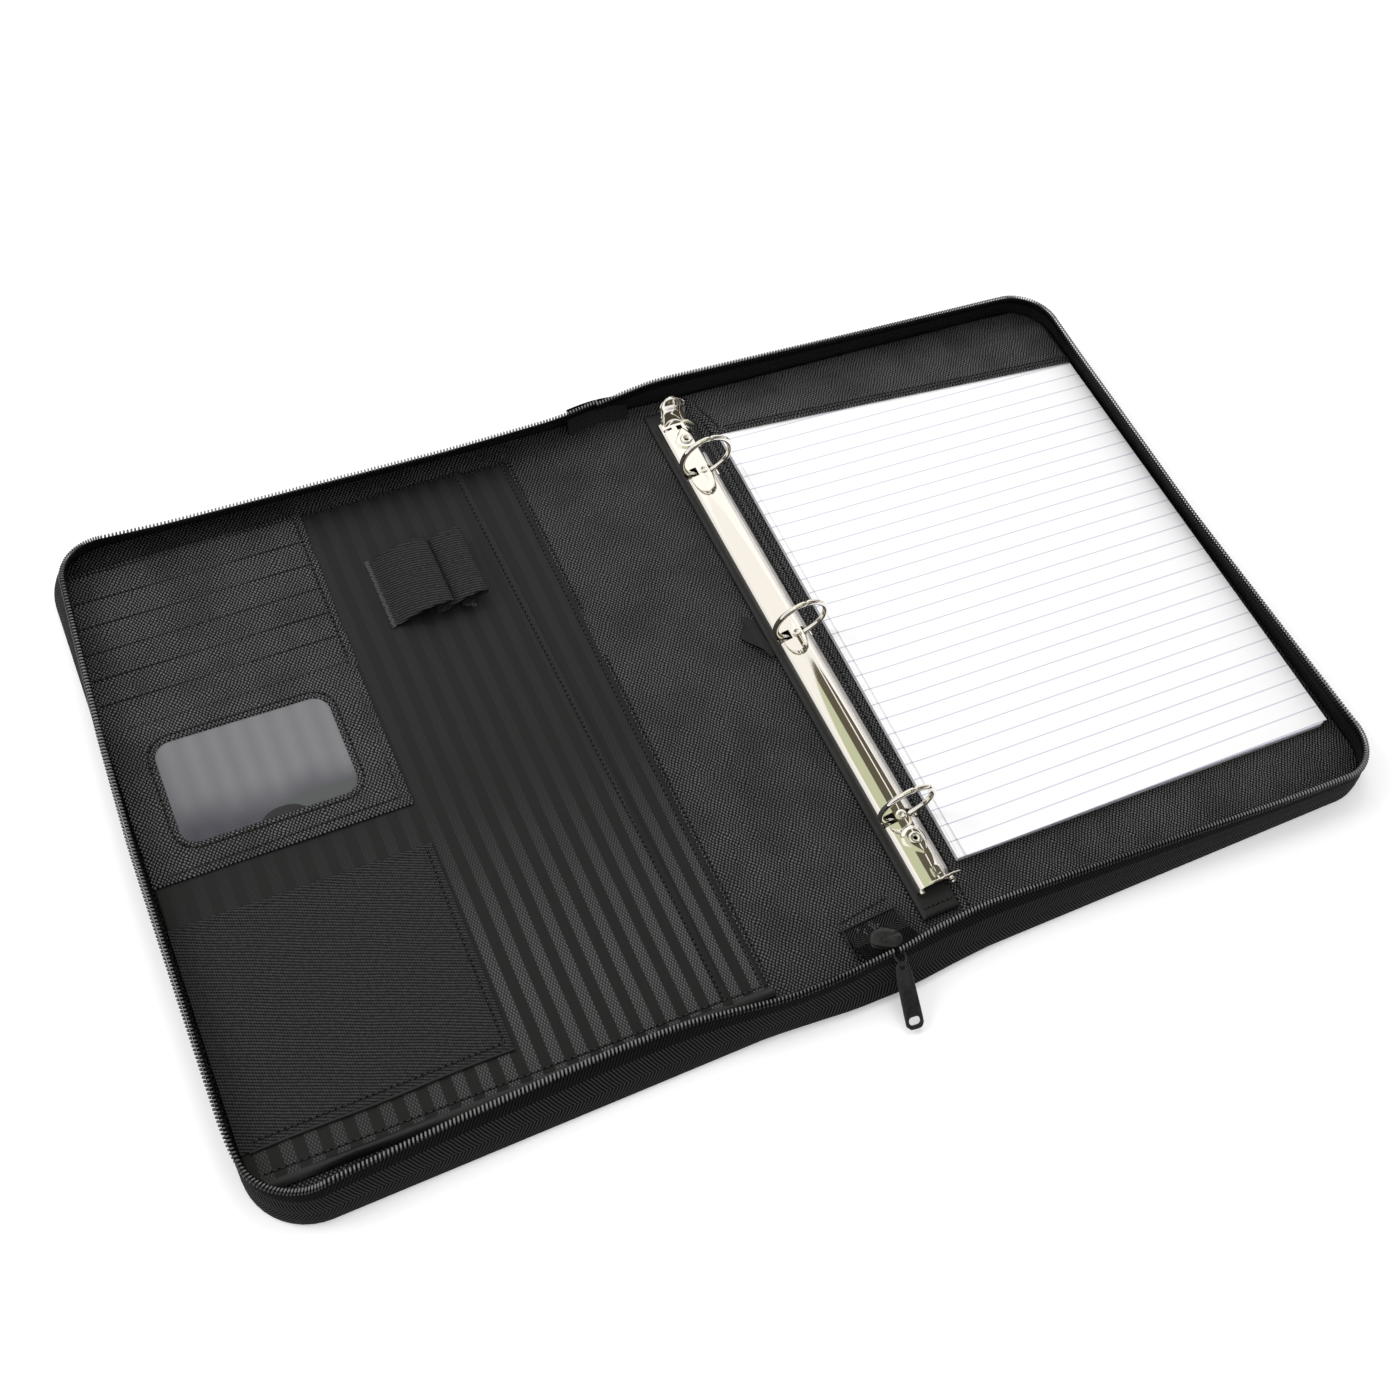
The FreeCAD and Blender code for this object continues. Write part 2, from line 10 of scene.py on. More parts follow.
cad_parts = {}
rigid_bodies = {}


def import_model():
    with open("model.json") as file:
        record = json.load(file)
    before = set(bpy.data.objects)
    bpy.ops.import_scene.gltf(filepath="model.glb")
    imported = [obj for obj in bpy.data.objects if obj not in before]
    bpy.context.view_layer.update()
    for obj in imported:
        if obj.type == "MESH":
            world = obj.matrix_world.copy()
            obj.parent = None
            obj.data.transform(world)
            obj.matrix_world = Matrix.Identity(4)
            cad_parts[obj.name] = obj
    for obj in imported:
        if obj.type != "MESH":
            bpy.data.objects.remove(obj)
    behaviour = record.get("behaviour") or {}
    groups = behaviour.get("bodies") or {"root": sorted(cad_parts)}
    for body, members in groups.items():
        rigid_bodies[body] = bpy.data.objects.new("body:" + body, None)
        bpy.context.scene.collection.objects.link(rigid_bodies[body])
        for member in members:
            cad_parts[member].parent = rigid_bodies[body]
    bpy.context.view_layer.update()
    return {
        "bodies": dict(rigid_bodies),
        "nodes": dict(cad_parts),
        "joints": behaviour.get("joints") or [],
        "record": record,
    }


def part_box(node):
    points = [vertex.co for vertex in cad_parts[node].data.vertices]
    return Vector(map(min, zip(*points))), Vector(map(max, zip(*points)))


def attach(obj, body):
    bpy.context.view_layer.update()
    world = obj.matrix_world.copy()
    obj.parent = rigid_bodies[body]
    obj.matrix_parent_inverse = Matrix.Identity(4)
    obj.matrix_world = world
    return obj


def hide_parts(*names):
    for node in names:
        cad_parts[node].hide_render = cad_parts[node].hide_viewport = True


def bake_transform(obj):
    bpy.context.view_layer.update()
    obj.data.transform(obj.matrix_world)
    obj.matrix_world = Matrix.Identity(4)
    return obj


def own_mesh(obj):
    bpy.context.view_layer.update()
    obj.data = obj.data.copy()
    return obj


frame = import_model()

# Lengths in this script are millimetres until a mesh is written, in the frame of the CAD model:
# +X from the front cover over the spine to the back cover, +Y to the far end, +Z up.
MM = 0.001
RANDOM = random.Random(11)


def span(node):
    """Lowest and highest corner of a CAD node, in millimetres."""
    low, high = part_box(node)
    return np.array(low) / MM, np.array(high) / MM


_, CASE_HIGH = span("back_outer_skin")
HALF_LENGTH = CASE_HIGH[1]              # of the covers, along Y
REACH = CASE_HIGH[0]                    # from the spine's middle to a cover's outer edge
CREASE = 21.0                           # from the spine's middle to a fold line
CORNER = 28.0                           # plan radius of the covers' outer corners
LINING_TOP = span("back_lining")[1][2]
WALL_HEIGHT = 19.0                      # of the zip tape's top edge


# ---- meshes -------------------------------------------------------------------------------

def mesh_object(name, mesh, sharp, weld=False):
    """A smooth object from a mesh, with outward faces and edges kept sharp above an angle."""
    work = bmesh.new()
    work.from_mesh(mesh)
    if weld:
        bmesh.ops.remove_doubles(work, verts=work.verts, dist=1e-6)
    bmesh.ops.recalc_face_normals(work, faces=work.faces)
    work.to_mesh(mesh)
    work.free()
    mesh.shade_smooth()
    mesh.set_sharp_from_angle(angle=math.radians(sharp))
    piece = bpy.data.objects.new(name, mesh)
    bpy.context.collection.objects.link(piece)
    return piece


def add_mesh(name, points, faces, materials, uvs=None, face_materials=None, sharp=38):
    """A smooth mesh object from points in millimetres, with outward faces."""
    mesh = bpy.data.meshes.new(name)
    mesh.from_pydata((np.asarray(points) * MM).tolist(), [], [list(f) for f in faces])
    for material in materials if isinstance(materials, (list, tuple)) else [materials]:
        mesh.materials.append(material)
    if uvs is not None:
        layer = mesh.uv_layers.new(name="surface_mm")
        index = np.zeros(len(mesh.loops), int)
        mesh.loops.foreach_get("vertex_index", index)
        layer.data.foreach_set("uv", np.asarray(uvs, np.float32)[index].ravel())
    if face_materials is not None:
        mesh.polygons.foreach_set("material_index", face_materials)
    return mesh_object(name, mesh, sharp)


def shell(top, bottom, uv):
    """Points, faces and UVs of a closed sheet between two matching grids of points."""
    rows, columns = top.shape[:2]
    count = rows * columns
    index = np.arange(count).reshape(rows, columns)
    corners = [index[:-1, :-1], index[1:, :-1], index[1:, 1:], index[:-1, 1:]]
    quads = np.stack(corners, axis=-1).reshape(-1, 4)
    faces = quads.tolist() + (quads[:, ::-1] + count).tolist()
    rim = [*index[0, :-1], *index[:-1, -1], *index[-1, :0:-1], *index[:0:-1, 0]]
    for a, b in zip(rim, rim[1:] + rim[:1]):
        faces.append([a, a + count, b + count, b])
    points = np.concatenate([top.reshape(-1, 3), bottom.reshape(-1, 3)])
    return points, faces, np.concatenate([uv.reshape(-1, 2)] * 2)


def sheet_mesh(name, top, thickness, material, uv=None, bottom=None):
    """A closed sheet below a grid of points; its UVs are plan millimetres unless given."""
    if bottom is None:
        bottom = top - np.array([0, 0, thickness])
    if uv is None:
        uv = top[..., :2]
    points, faces, uvs = shell(top, bottom, uv)
    return add_mesh(name, points, faces, material, uvs)


def frames_along(path, up=(0, 0, 1)):
    """Unit directions and sideways vectors along a list of points."""
    direction = np.gradient(path, axis=0)
    direction /= np.linalg.norm(direction, axis=1)[:, None]
    side = np.cross(np.array(up, float), direction)
    side /= np.maximum(np.linalg.norm(side, axis=1), 1e-9)[:, None]
    return direction, side


def ring_faces(rings, sides, closed=True):
    """Quads between rings of points, the last ring joined to the first where closed."""
    faces = []
    for i in range(rings if closed else rings - 1):
        a = i * sides
        b = (i + 1) % rings * sides
        for j in range(sides):
            k = (j + 1) % sides
            faces.append([a + j, a + k, b + k, b + j])
    return faces


def tube(path, radius, sides=10, up=(0, 0, 1), closed=False):
    """Points and faces of a round tube along a path, with closed ends. radius may vary."""
    path = np.asarray(path, float)
    radius = np.broadcast_to(radius, len(path))
    direction, side = frames_along(path, up)
    if closed:
        direction = np.roll(path, -1, 0) - np.roll(path, 1, 0)
        direction /= np.linalg.norm(direction, axis=1)[:, None]
        side = np.cross(np.array(up, float), direction)
        side /= np.linalg.norm(side, axis=1)[:, None]
    lift = np.cross(direction, side)
    angle = np.linspace(0, 2 * math.pi, sides, endpoint=False)
    ring = side[:, None] * np.cos(angle)[None, :, None] + lift[:, None] * np.sin(angle)[None, :, None]
    points = (path[:, None] + ring * radius[:, None, None]).reshape(-1, 3)
    faces = ring_faces(len(path), sides, closed)
    if not closed:
        faces.append(list(range(sides))[::-1])
        faces.append([(len(path) - 1) * sides + j for j in range(sides)])
    return points, faces


def joined(parts):
    """One set of points and faces from several."""
    points, faces, start = [], [], 0
    for part_points, part_faces in parts:
        points.append(np.asarray(part_points, float))
        faces += [[v + start for v in face] for face in part_faces]
        start += len(part_points)
    return np.concatenate(points), faces


def solid(name, parts, material, sharp=38):
    """One mesh object from several pairs of points and faces."""
    points, faces = joined(parts)
    return add_mesh(name, points, faces, material, sharp=sharp)


def belongs(piece, body, slot, *nodes):
    """Ties a piece to its body and hides the CAD nodes that it stands for; slot is not used."""
    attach(piece, body)
    if nodes:
        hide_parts(*nodes)


def smooth_path(points, count):
    """A Catmull-Rom curve through points, sampled evenly by index."""
    points = np.asarray(points, float)
    ends = np.concatenate([[2 * points[0] - points[1]], points, [2 * points[-1] - points[-2]]])
    result = []
    for t in np.linspace(0, len(points) - 1, count):
        i = min(int(t), len(points) - 2)
        f = t - i
        a, b, c, d = ends[i:i + 4]
        result.append(0.5 * (2 * b + (c - a) * f + (2 * a - 5 * b + 4 * c - d) * f ** 2
                             + (3 * b - a - 3 * c + d) * f ** 3))
    return np.array(result)


def even_points(path, pitch):
    """Points at an even pitch along a path of straight runs, and the directions there."""
    path = np.asarray(path, float)
    steps = np.linalg.norm(np.diff(path, axis=0), axis=1)
    reach = np.concatenate([[0], np.cumsum(steps)])
    count = max(2, int(round(reach[-1] / pitch)))
    at = (np.arange(count) + 0.5) * reach[-1] / count
    places = np.stack([np.interp(at, reach, path[:, k]) for k in range(3)], axis=1)
    run = np.clip(np.searchsorted(reach, at) - 1, 0, len(steps) - 1)
    return places, np.diff(path, axis=0)[run] / steps[run][:, None]


def waves(x, y, size, height, seed=0.0):
    """Smooth uneven height over a plan, from a few crossing sine waves."""
    total = np.sin(x / size * 2.1 + 1.3 * seed) * np.cos(y / size * 1.7 + seed)
    total += 0.6 * np.sin(x / size * 3.7 - y / size * 2.9 + 2.1 * seed)
    total += 0.4 * np.cos(x / size * 5.3 + y / size * 6.1 + 0.7 * seed)
    return height * total / 2


def plate(name, loops, low, high, bevel, material):
    """A flat plate with rounded rims, filled between an outline and its holes, as a mesh."""
    curve = bpy.data.curves.new(name, "CURVE")
    curve.dimensions = "2D"
    curve.fill_mode = "BOTH"
    curve.extrude = ((high - low) / 2 - bevel) * MM
    curve.bevel_depth = bevel * MM
    curve.bevel_resolution = 2
    curve.offset = -bevel * MM
    for loop in loops:
        spline = curve.splines.new("POLY")
        spline.points.add(len(loop) - 1)
        for point, place in zip(spline.points, loop):
            point.co = (place[0] * MM, place[1] * MM, 0, 1)
        spline.use_cyclic_u = True
    holder = bpy.data.objects.new(name + "_outline", curve)
    bpy.context.collection.objects.link(holder)
    mesh = bpy.data.meshes.new_from_object(holder.evaluated_get(bpy.context.evaluated_depsgraph_get()))
    bpy.data.objects.remove(holder)
    mesh.transform(Matrix.Translation((0, 0, (low + high) / 2 * MM)))
    mesh.name = name
    mesh.materials.clear()
    mesh.materials.append(material)
    return mesh_object(name, mesh, 50, weld=True)


def rounded_loop(low_x, high_x, low_y, high_y, radius, steps=8):
    """Corner-rounded rectangle as a list of plan points."""
    loop = []
    for cx, cy, start in ((high_x - radius, high_y - radius, 0), (low_x + radius, high_y - radius, 90),
                          (low_x + radius, low_y + radius, 180), (high_x - radius, low_y + radius, 270)):
        for step in range(steps + 1):
            angle = math.radians(start + 90 * step / steps)
            loop.append((cx + radius * math.cos(angle), cy + radius * math.sin(angle)))
    return loop


# ---- materials ----------------------------------------------------------------------------

class Finish:
    """A material under construction: a principled shader and short calls for its nodes."""

    def __init__(self, name, colour, roughness, **sockets):
        self.material = bpy.data.materials.new(name)
        self.material.use_nodes = True
        self.tree = self.material.node_tree
        self.shader = self.tree.nodes["Principled BSDF"]
        self.shader.inputs["Base Color"].default_value = (*colour, 1)
        self.shader.inputs["Roughness"].default_value = roughness
        for socket, value in sockets.items():
            self.shader.inputs[socket.replace("_", " ")].default_value = value

    def put(self, value, socket):
        """Links a node's output, or writes a plain number, to an input socket."""
        if isinstance(value, (int, float)):
            socket.default_value = value
        else:
            self.tree.links.new(value, socket)

    def math(self, operation, a, b=0.0, c=0.0):
        node = self.tree.nodes.new("ShaderNodeMath")
        node.operation = operation
        for value, socket in zip((a, b, c), node.inputs):
            self.put(value, socket)
        return node.outputs[0]

    def plan(self):
        """X, Y and Z of the surface point, in millimetres."""
        coordinates = self.tree.nodes.new("ShaderNodeTexCoord")
        scaled = self.tree.nodes.new("ShaderNodeVectorMath")
        scaled.operation = "SCALE"
        scaled.inputs["Scale"].default_value = 1 / MM
        self.put(coordinates.outputs["Object"], scaled.inputs[0])
        return scaled.outputs[0]

    def surface(self):
        """The mesh's own surface coordinates, in millimetres."""
        node = self.tree.nodes.new("ShaderNodeUVMap")
        node.uv_map = "surface_mm"
        return node.outputs[0]

    def parts(self, vector):
        node = self.tree.nodes.new("ShaderNodeSeparateXYZ")
        self.put(vector, node.inputs[0])
        return node.outputs

    def noise(self, vector, size, detail=2.0, stretch=None):
        """Noise from 0 to 1 whose blotches are about size millimetres."""
        if stretch:
            mapping = self.tree.nodes.new("ShaderNodeMapping")
            mapping.inputs["Scale"].default_value = stretch
            self.put(vector, mapping.inputs[0])
            vector = mapping.outputs[0]
        node = self.tree.nodes.new("ShaderNodeTexNoise")
        node.inputs["Scale"].default_value = 1 / size
        node.inputs["Detail"].default_value = detail
        self.put(vector, node.inputs["Vector"])
        return node.outputs["Fac"]

    def wave(self, along, period):
        """A sine from 0 to 1 with a period in millimetres."""
        turned = self.math("MULTIPLY", along, 2 * math.pi / period)
        return self.math("MULTIPLY_ADD", self.math("SINE", turned), 0.5, 0.5)

    def ramp(self, value, low, high, to_low=0.0, to_high=1.0):
        node = self.tree.nodes.new("ShaderNodeMapRange")
        node.interpolation_type = "SMOOTHSTEP"
        for number, socket in zip((low, high, to_low, to_high), list(node.inputs)[1:5]):
            socket.default_value = number
        self.put(value, node.inputs[0])
        return node.outputs[0]

    def mixed(self, share, first, second):
        """A colour between two, each a colour or an output."""
        node = self.tree.nodes.new("ShaderNodeMix")
        node.data_type = "RGBA"
        self.put(share, node.inputs["Factor"])
        for value, socket in ((first, node.inputs[6]), (second, node.inputs[7])):
            if isinstance(value, tuple):
                socket.default_value = (*value, 1)
            else:
                self.put(value, socket)
        return node.outputs[2]

    def colour(self, value):
        self.put(value, self.shader.inputs["Base Color"])

    def roughness(self, value):
        self.put(value, self.shader.inputs["Roughness"])

    def bump(self, height, depth):
        """Bump from a 0 to 1 height, where 1 stands depth millimetres proud."""
        node = self.tree.nodes.new("ShaderNodeBump")
        node.inputs["Distance"].default_value = depth * MM
        self.put(height, node.inputs["Height"])
        previous = self.shader.inputs["Normal"].links
        if previous:
            self.put(previous[0].from_socket, node.inputs["Normal"])
        self.put(node.outputs[0], self.shader.inputs["Normal"])


def crosshatch(name, dark, light, period, depth, roughness):
    """Leatherette embossed with fine crossing diagonal grooves, coloured lighter on the raised tops as
    painted highlight and darker in the grooves as painted shade; the broad patches vary its tone at random.
    """
    finish = Finish(name, light, roughness, Specular_IOR_Level=0.2)
    where = finish.surface()
    x, y, _ = finish.parts(where)
    drift = finish.math("MULTIPLY", finish.noise(where, 7.0), 3.0)
    first = finish.math("ADD", finish.math("ADD", x, finish.math("MULTIPLY", y, 0.9)), drift)
    second = finish.math("ADD", finish.math("SUBTRACT", x, finish.math("MULTIPLY", y, 0.75)), drift)
    pits = finish.math("MULTIPLY", finish.wave(first, period), finish.wave(second, period))
    grain = finish.noise(where, 0.9)
    height = finish.math("MULTIPLY_ADD", grain, 0.5, finish.math("POWER", pits, 0.7))
    patches = finish.ramp(finish.noise(where, 30.0, 3.0), 0.3, 0.7, 0.75, 1.25)
    # Painted highlight and shade: the colour follows the emboss height, light on the raised tops and dark in
    # the pits.
    share = finish.math("MULTIPLY", finish.ramp(height, 0.35, 1.05), patches)
    finish.colour(finish.mixed(share, dark, light))
    finish.roughness(finish.ramp(grain, 0.3, 0.7, roughness - 0.08, roughness + 0.1))
    finish.bump(height, depth)
    return finish.material


def plain_leatherette():
    """Smooth leatherette with a faint pebble grain."""
    finish = Finish("smooth_leatherette", (0.014, 0.014, 0.015), 0.42, Specular_IOR_Level=0.3)
    where = finish.plan()
    grain = finish.noise(where, 0.9, 3.0)
    broad = finish.noise(where, 25.0)
    finish.colour(finish.mixed(broad, (0.009, 0.009, 0.0095), (0.02, 0.02, 0.021)))
    finish.roughness(finish.ramp(grain, 0.3, 0.7, 0.36, 0.52))
    finish.bump(grain, 0.06)
    return finish.material


def striped_satin():
    """Pocket lining: matt twill and smooth satin stripes side by side, along Y. The lighter stripes are
    painted sheen, strongest at the near end and fading towards the far end and towards the left.
    """
    finish = Finish("striped_satin", (0.02, 0.02, 0.021), 0.4, Specular_IOR_Level=0.2)
    where = finish.plan()
    x, y, _ = finish.parts(where)
    wander = finish.math("MULTIPLY_ADD", finish.noise(where, 60.0), 1.2, x)
    stripe = finish.ramp(finish.wave(wander, 10.2), 0.42, 0.58)
    twill = finish.wave(finish.math("ADD", finish.math("MULTIPLY", x, 1.6), y), 2.3)
    cross = finish.wave(finish.math("SUBTRACT", finish.math("MULTIPLY", x, 1.6), y), 2.3)
    dots = finish.math("MULTIPLY", twill, cross)
    weave = finish.math("MULTIPLY", dots, stripe)
    light = finish.mixed(dots, (0.018, 0.018, 0.0185), (0.125, 0.125, 0.129))
    # Painted sheen: the lighter stripes' colour stands in for the satin's gloss, faded over the far half and
    # towards the left.
    painted_sheen_along_y = finish.ramp(y, -125.0, -10.0, 1.0, 0.13)
    painted_sheen_fade = finish.math("MULTIPLY", painted_sheen_along_y, finish.ramp(x, -235.0, -150.0, 0.55, 1.0))
    stripe_with_painted_sheen = finish.math("MULTIPLY", stripe, painted_sheen_fade)
    finish.colour(finish.mixed(stripe_with_painted_sheen, (0.0095, 0.0095, 0.01), light))
    finish.roughness(finish.ramp(stripe_with_painted_sheen, 0.0, 1.0, 0.5, 0.32))
    finish.bump(weave, 0.12)
    finish.bump(finish.noise(where, 14.0, 2.0, (1, 0.35, 1)), 0.5)
    return finish.material


def ribbed_elastic(name, slope, light):
    """Elastic webbing with fine raised ribs, coloured lighter on the rib tops as painted highlight and
    darker in the grooves as painted shade; the fluff noise is the yarn's own uneven tone.
    """
    finish = Finish(name, (0.014, 0.014, 0.014), 0.7, Specular_IOR_Level=0.15)
    where = finish.surface()
    x, y, _ = finish.parts(where)
    bow = finish.math("MULTIPLY_ADD", finish.noise(where, 30.0), 1.6, y)
    slant = finish.math("MULTIPLY_ADD", x, slope, bow)
    ribs = finish.wave(slant, 1.4)
    knots = finish.wave(x, 1.1)
    height = finish.math("MULTIPLY_ADD", knots, 0.45, ribs)
    fluff = finish.ramp(finish.noise(where, 1.6, 3.0), 0.3, 0.7, 0.6, 1.2)
    # Painted highlight and shade: the colour follows the rib height, light on the tops and dark in the
    # grooves.
    share = finish.math("MULTIPLY", finish.ramp(height, 0.1, 1.4), fluff)
    finish.colour(finish.mixed(share, (0.003, 0.003, 0.003), (light, light, light * 1.01)))
    finish.bump(height, 0.2)
    return finish.material


def herringbone():
    """Woven wall tape: diagonal ribs that change direction from band to band, coloured lighter on the rib
    tops as painted highlight and darker between them as painted shade; the darker band at the top is the zip
    tape.
    """
    finish = Finish("herringbone_tape", (0.012, 0.012, 0.012), 0.75, Specular_IOR_Level=0.08)
    where = finish.surface()
    along, up, _ = finish.parts(where)
    band = finish.math("DIVIDE", finish.math("SUBTRACT", up, 0.6), 6.9)
    side = finish.math("PINGPONG", finish.math("MULTIPLY", band, 6.9), 6.9)
    slant = finish.math("MULTIPLY_ADD", side, 0.85, along)
    loose = finish.math("MULTIPLY_ADD", finish.noise(where, 5.0), 0.7, slant)
    ribs = finish.wave(loose, 1.6)
    threads = finish.wave(up, 0.62)
    height = finish.math("MULTIPLY_ADD", threads, 0.2, ribs)
    upper = finish.ramp(up, 13.9, 14.6, 1.0, 0.3)
    # Painted highlight and shade: the colour follows the rib height; the upper ramp darkens the zip tape's
    # own band.
    share = finish.math("MULTIPLY", finish.ramp(height, 0.3, 1.1), upper)
    finish.colour(finish.mixed(share, (0.0005, 0.0005, 0.0005), (0.034, 0.034, 0.034)))
    finish.bump(height, 0.25)
    return finish.material


def coil_nylon():
    """Glossy black monofilament of the zip's elements, with a painted highlight: the colour turns light at
    the top of each element.
    """
    finish = Finish("coil_nylon", (0.012, 0.012, 0.012), 0.3, Specular_IOR_Level=0.5)
    where = finish.plan()
    _, _, height = finish.parts(where)
    # Painted highlight: the highest part of each element is coloured light.
    painted_tip_highlight = finish.ramp(height, 20.15, 20.8)
    finish.colour(finish.mixed(painted_tip_highlight, (0.003, 0.003, 0.003), (0.17, 0.17, 0.168)))
    finish.roughness(finish.ramp(finish.noise(where, 1.2), 0.3, 0.7, 0.22, 0.38))
    finish.bump(finish.noise(where, 0.5), 0.03)
    return finish.material


def plated(name, colour, roughness, mottling=0.02):
    """Polished plating with faint haze and drawing marks along Y."""
    finish = Finish(name, colour, roughness, Metallic=1.0)
    where = finish.plan()
    haze = finish.noise(where, 3.0, 3.0, (1, 0.08, 1))
    finish.roughness(finish.ramp(haze, 0.25, 0.75, roughness, roughness + mottling))
    finish.colour(finish.mixed(haze, colour, tuple(0.94 * c for c in colour)))
    finish.bump(finish.noise(where, 6.0, 1.0, (1, 0.2, 1)), 0.012)
    return finish.material


def dark_enamel():
    """Black enamelled zinc of the slider and its pull."""
    finish = Finish("dark_enamel", (0.02, 0.02, 0.021), 0.3, Specular_IOR_Level=0.35, Coat_Weight=0.1)
    where = finish.plan()
    wear = finish.noise(where, 2.4, 3.0)
    finish.colour(finish.mixed(wear, (0.008, 0.008, 0.0085), (0.02, 0.02, 0.021)))
    finish.roughness(finish.ramp(wear, 0.3, 0.7, 0.26, 0.42))
    finish.bump(wear, 0.03)
    return finish.material


def ruled_paper():
    """White writing paper with pale printed rules, drawn from the sheet's own coordinates."""
    finish = Finish("ruled_paper", (0.93, 0.93, 0.93), 0.62, Specular_IOR_Level=0.3)
    where = finish.surface()
    _, down, _ = finish.parts(where)
    spacing = 8.731
    offset = finish.math("PINGPONG", down, spacing / 2)
    rule = finish.ramp(offset, 0.16, 0.42, 1.0, 0.0)
    inked = finish.math("MULTIPLY", rule, finish.ramp(down, -10.2, -9.6))
    tooth = finish.noise(where, 0.8, 3.0)
    white = finish.mixed(tooth, (0.9, 0.9, 0.905), (0.935, 0.935, 0.935))
    finish.colour(finish.mixed(inked, white, (0.56, 0.55, 0.66)))
    finish.bump(tooth, 0.01)
    return finish.material


def sheet_edges():
    """The cut edges of the stacked sheets, as fine layers."""
    finish = Finish("paper_edges", (0.8, 0.8, 0.83), 0.7)
    where = finish.plan()
    _, _, z = finish.parts(where)
    layers = finish.wave(finish.math("MULTIPLY_ADD", finish.noise(where, 40.0), 0.5, z), 0.42)
    finish.colour(finish.mixed(layers, (0.5, 0.49, 0.56), (0.9, 0.9, 0.92)))
    finish.bump(layers, 0.08)
    return finish.material


def speckled(name, base, roughness, size, detail, dark, light, depth, **sockets):
    """A matt surface whose colour and height follow one fine noise."""
    finish = Finish(name, base, roughness, **sockets)
    speck = finish.noise(finish.plan(), size, detail)
    finish.colour(finish.mixed(speck, dark, light))
    finish.bump(speck, depth)
    return finish.material


def window_film():
    """Clear flexible film whose colour is a painted reflection, bright towards the far right and dark along
    the near side and the left, with the striped lining behind it painted in.
    """
    finish = Finish("window_film", (0.19, 0.19, 0.205), 0.2, Alpha=0.86, Specular_IOR_Level=0.5)
    where = finish.plan()
    x, y, _ = finish.parts(where)
    cloud = finish.noise(where, 30.0, 1.0)
    # Painted reflection: the film's colour brightens to the far right and darkens along the near edge and
    # the left, as the glare on it.
    along = finish.math("MULTIPLY_ADD", cloud, 20.0, finish.math("MULTIPLY_ADD", y, 0.8, x))
    near = finish.ramp(finish.math("MULTIPLY_ADD", cloud, 12.0, y), 8.0, 30.0, 0.12, 1.0)
    share = finish.math("MULTIPLY", finish.ramp(along, -268.0, -205.0, 0.3, 1.0), near)
    haze = finish.mixed(share, (0.032, 0.034, 0.05), (0.188, 0.185, 0.198))
    painted_reflection_with_stripes = finish.mixed(finish.math("MULTIPLY", finish.wave(x, 10.2), 0.22), haze, (0.08, 0.08, 0.09))
    edge = finish.math("MULTIPLY_ADD", y, -1.25, x)
    flap = finish.math("MULTIPLY", finish.ramp(y, 6.4, 9.4, 1.0, 0.0), finish.ramp(edge, -224.0, -223.2))
    finish.colour(finish.mixed(flap, painted_reflection_with_stripes, (0.07, 0.079, 0.077)))
    finish.roughness(finish.ramp(cloud, 0.3, 0.7, 0.16, 0.28))
    finish.bump(cloud, 0.15)
    return finish.material


def thread():
    """Twisted black sewing thread."""
    finish = Finish("thread", (0.02, 0.02, 0.02), 0.55, Sheen_Weight=0.1)
    where = finish.plan()
    x, y, _ = finish.parts(where)
    twist = finish.wave(finish.math("ADD", x, y), 0.5)
    finish.colour(finish.mixed(twist, (0.004, 0.004, 0.004), (0.024, 0.024, 0.024)))
    finish.bump(twist, 0.06)
    return finish.material


def stitch_groove_shade():
    """Painted shade: a very dark finish for the groove that a row of stitches pulls into a sheet."""
    finish = Finish("stitch_groove_shade", (0.002, 0.002, 0.002), 0.95, Specular_IOR_Level=0.1)
    finish.bump(finish.noise(finish.plan(), 0.6), 0.05)
    return finish.material


def table_top():
    """Plain pale floor."""
    finish = Finish("pale_floor", (0.95, 0.95, 0.95), 0.9, Specular_IOR_Level=0.0, Emission_Strength=0.12)
    finish.shader.inputs["Emission Color"].default_value = (1, 1, 1, 1)
    finish.colour(finish.mixed(finish.noise(finish.plan(), 400.0), (0.95, 0.95, 0.95), (0.96, 0.96, 0.96)))
    return finish.material


# These leatherettes carry painted highlights on their raised tops and painted shade in their grooves.
LINING = crosshatch("lining_leatherette", (0.0015, 0.0015, 0.0015), (0.112, 0.112, 0.114), 1.85, 0.42, 0.34)
PANEL = crosshatch("panel_leatherette", (0.0005, 0.0005, 0.0005), (0.145, 0.145, 0.148), 1.8, 0.46, 0.34)
SKIN = crosshatch("outer_leatherette", (0.002, 0.002, 0.002), (0.09, 0.09, 0.092), 2.0, 0.42, 0.38)
SMOOTH = plain_leatherette()
SATIN = striped_satin()
# Both ribbed materials paint highlights on their rib tops and shade in their grooves.
ELASTIC = ribbed_elastic("ribbed_elastic", 0.42, 0.045)
WEBBING = ribbed_elastic("ribbed_webbing", 0.2, 0.043)
TAPE = herringbone()
COIL = coil_nylon()
CHROME = plated("ring_chrome", (0.99, 0.95, 0.885), 0.04)
BLADE = plated("blade_steel", (0.62, 0.6, 0.57), 0.2, 0.1)
ENAMEL = dark_enamel()
PAPER = ruled_paper()
EDGES = sheet_edges()
BOARD = speckled("grey_board", (0.3, 0.29, 0.28), 0.8, 0.9, 4.0, (0.2, 0.195, 0.19), (0.4, 0.39, 0.37), 0.05)
FILM = window_film()
THREAD = thread()
OVERLOCK = speckled("overlock_thread", (0.12, 0.12, 0.12), 0.8, 0.4, 3.0, (0.02, 0.02, 0.02),
                    (0.13, 0.13, 0.13), 0.1)
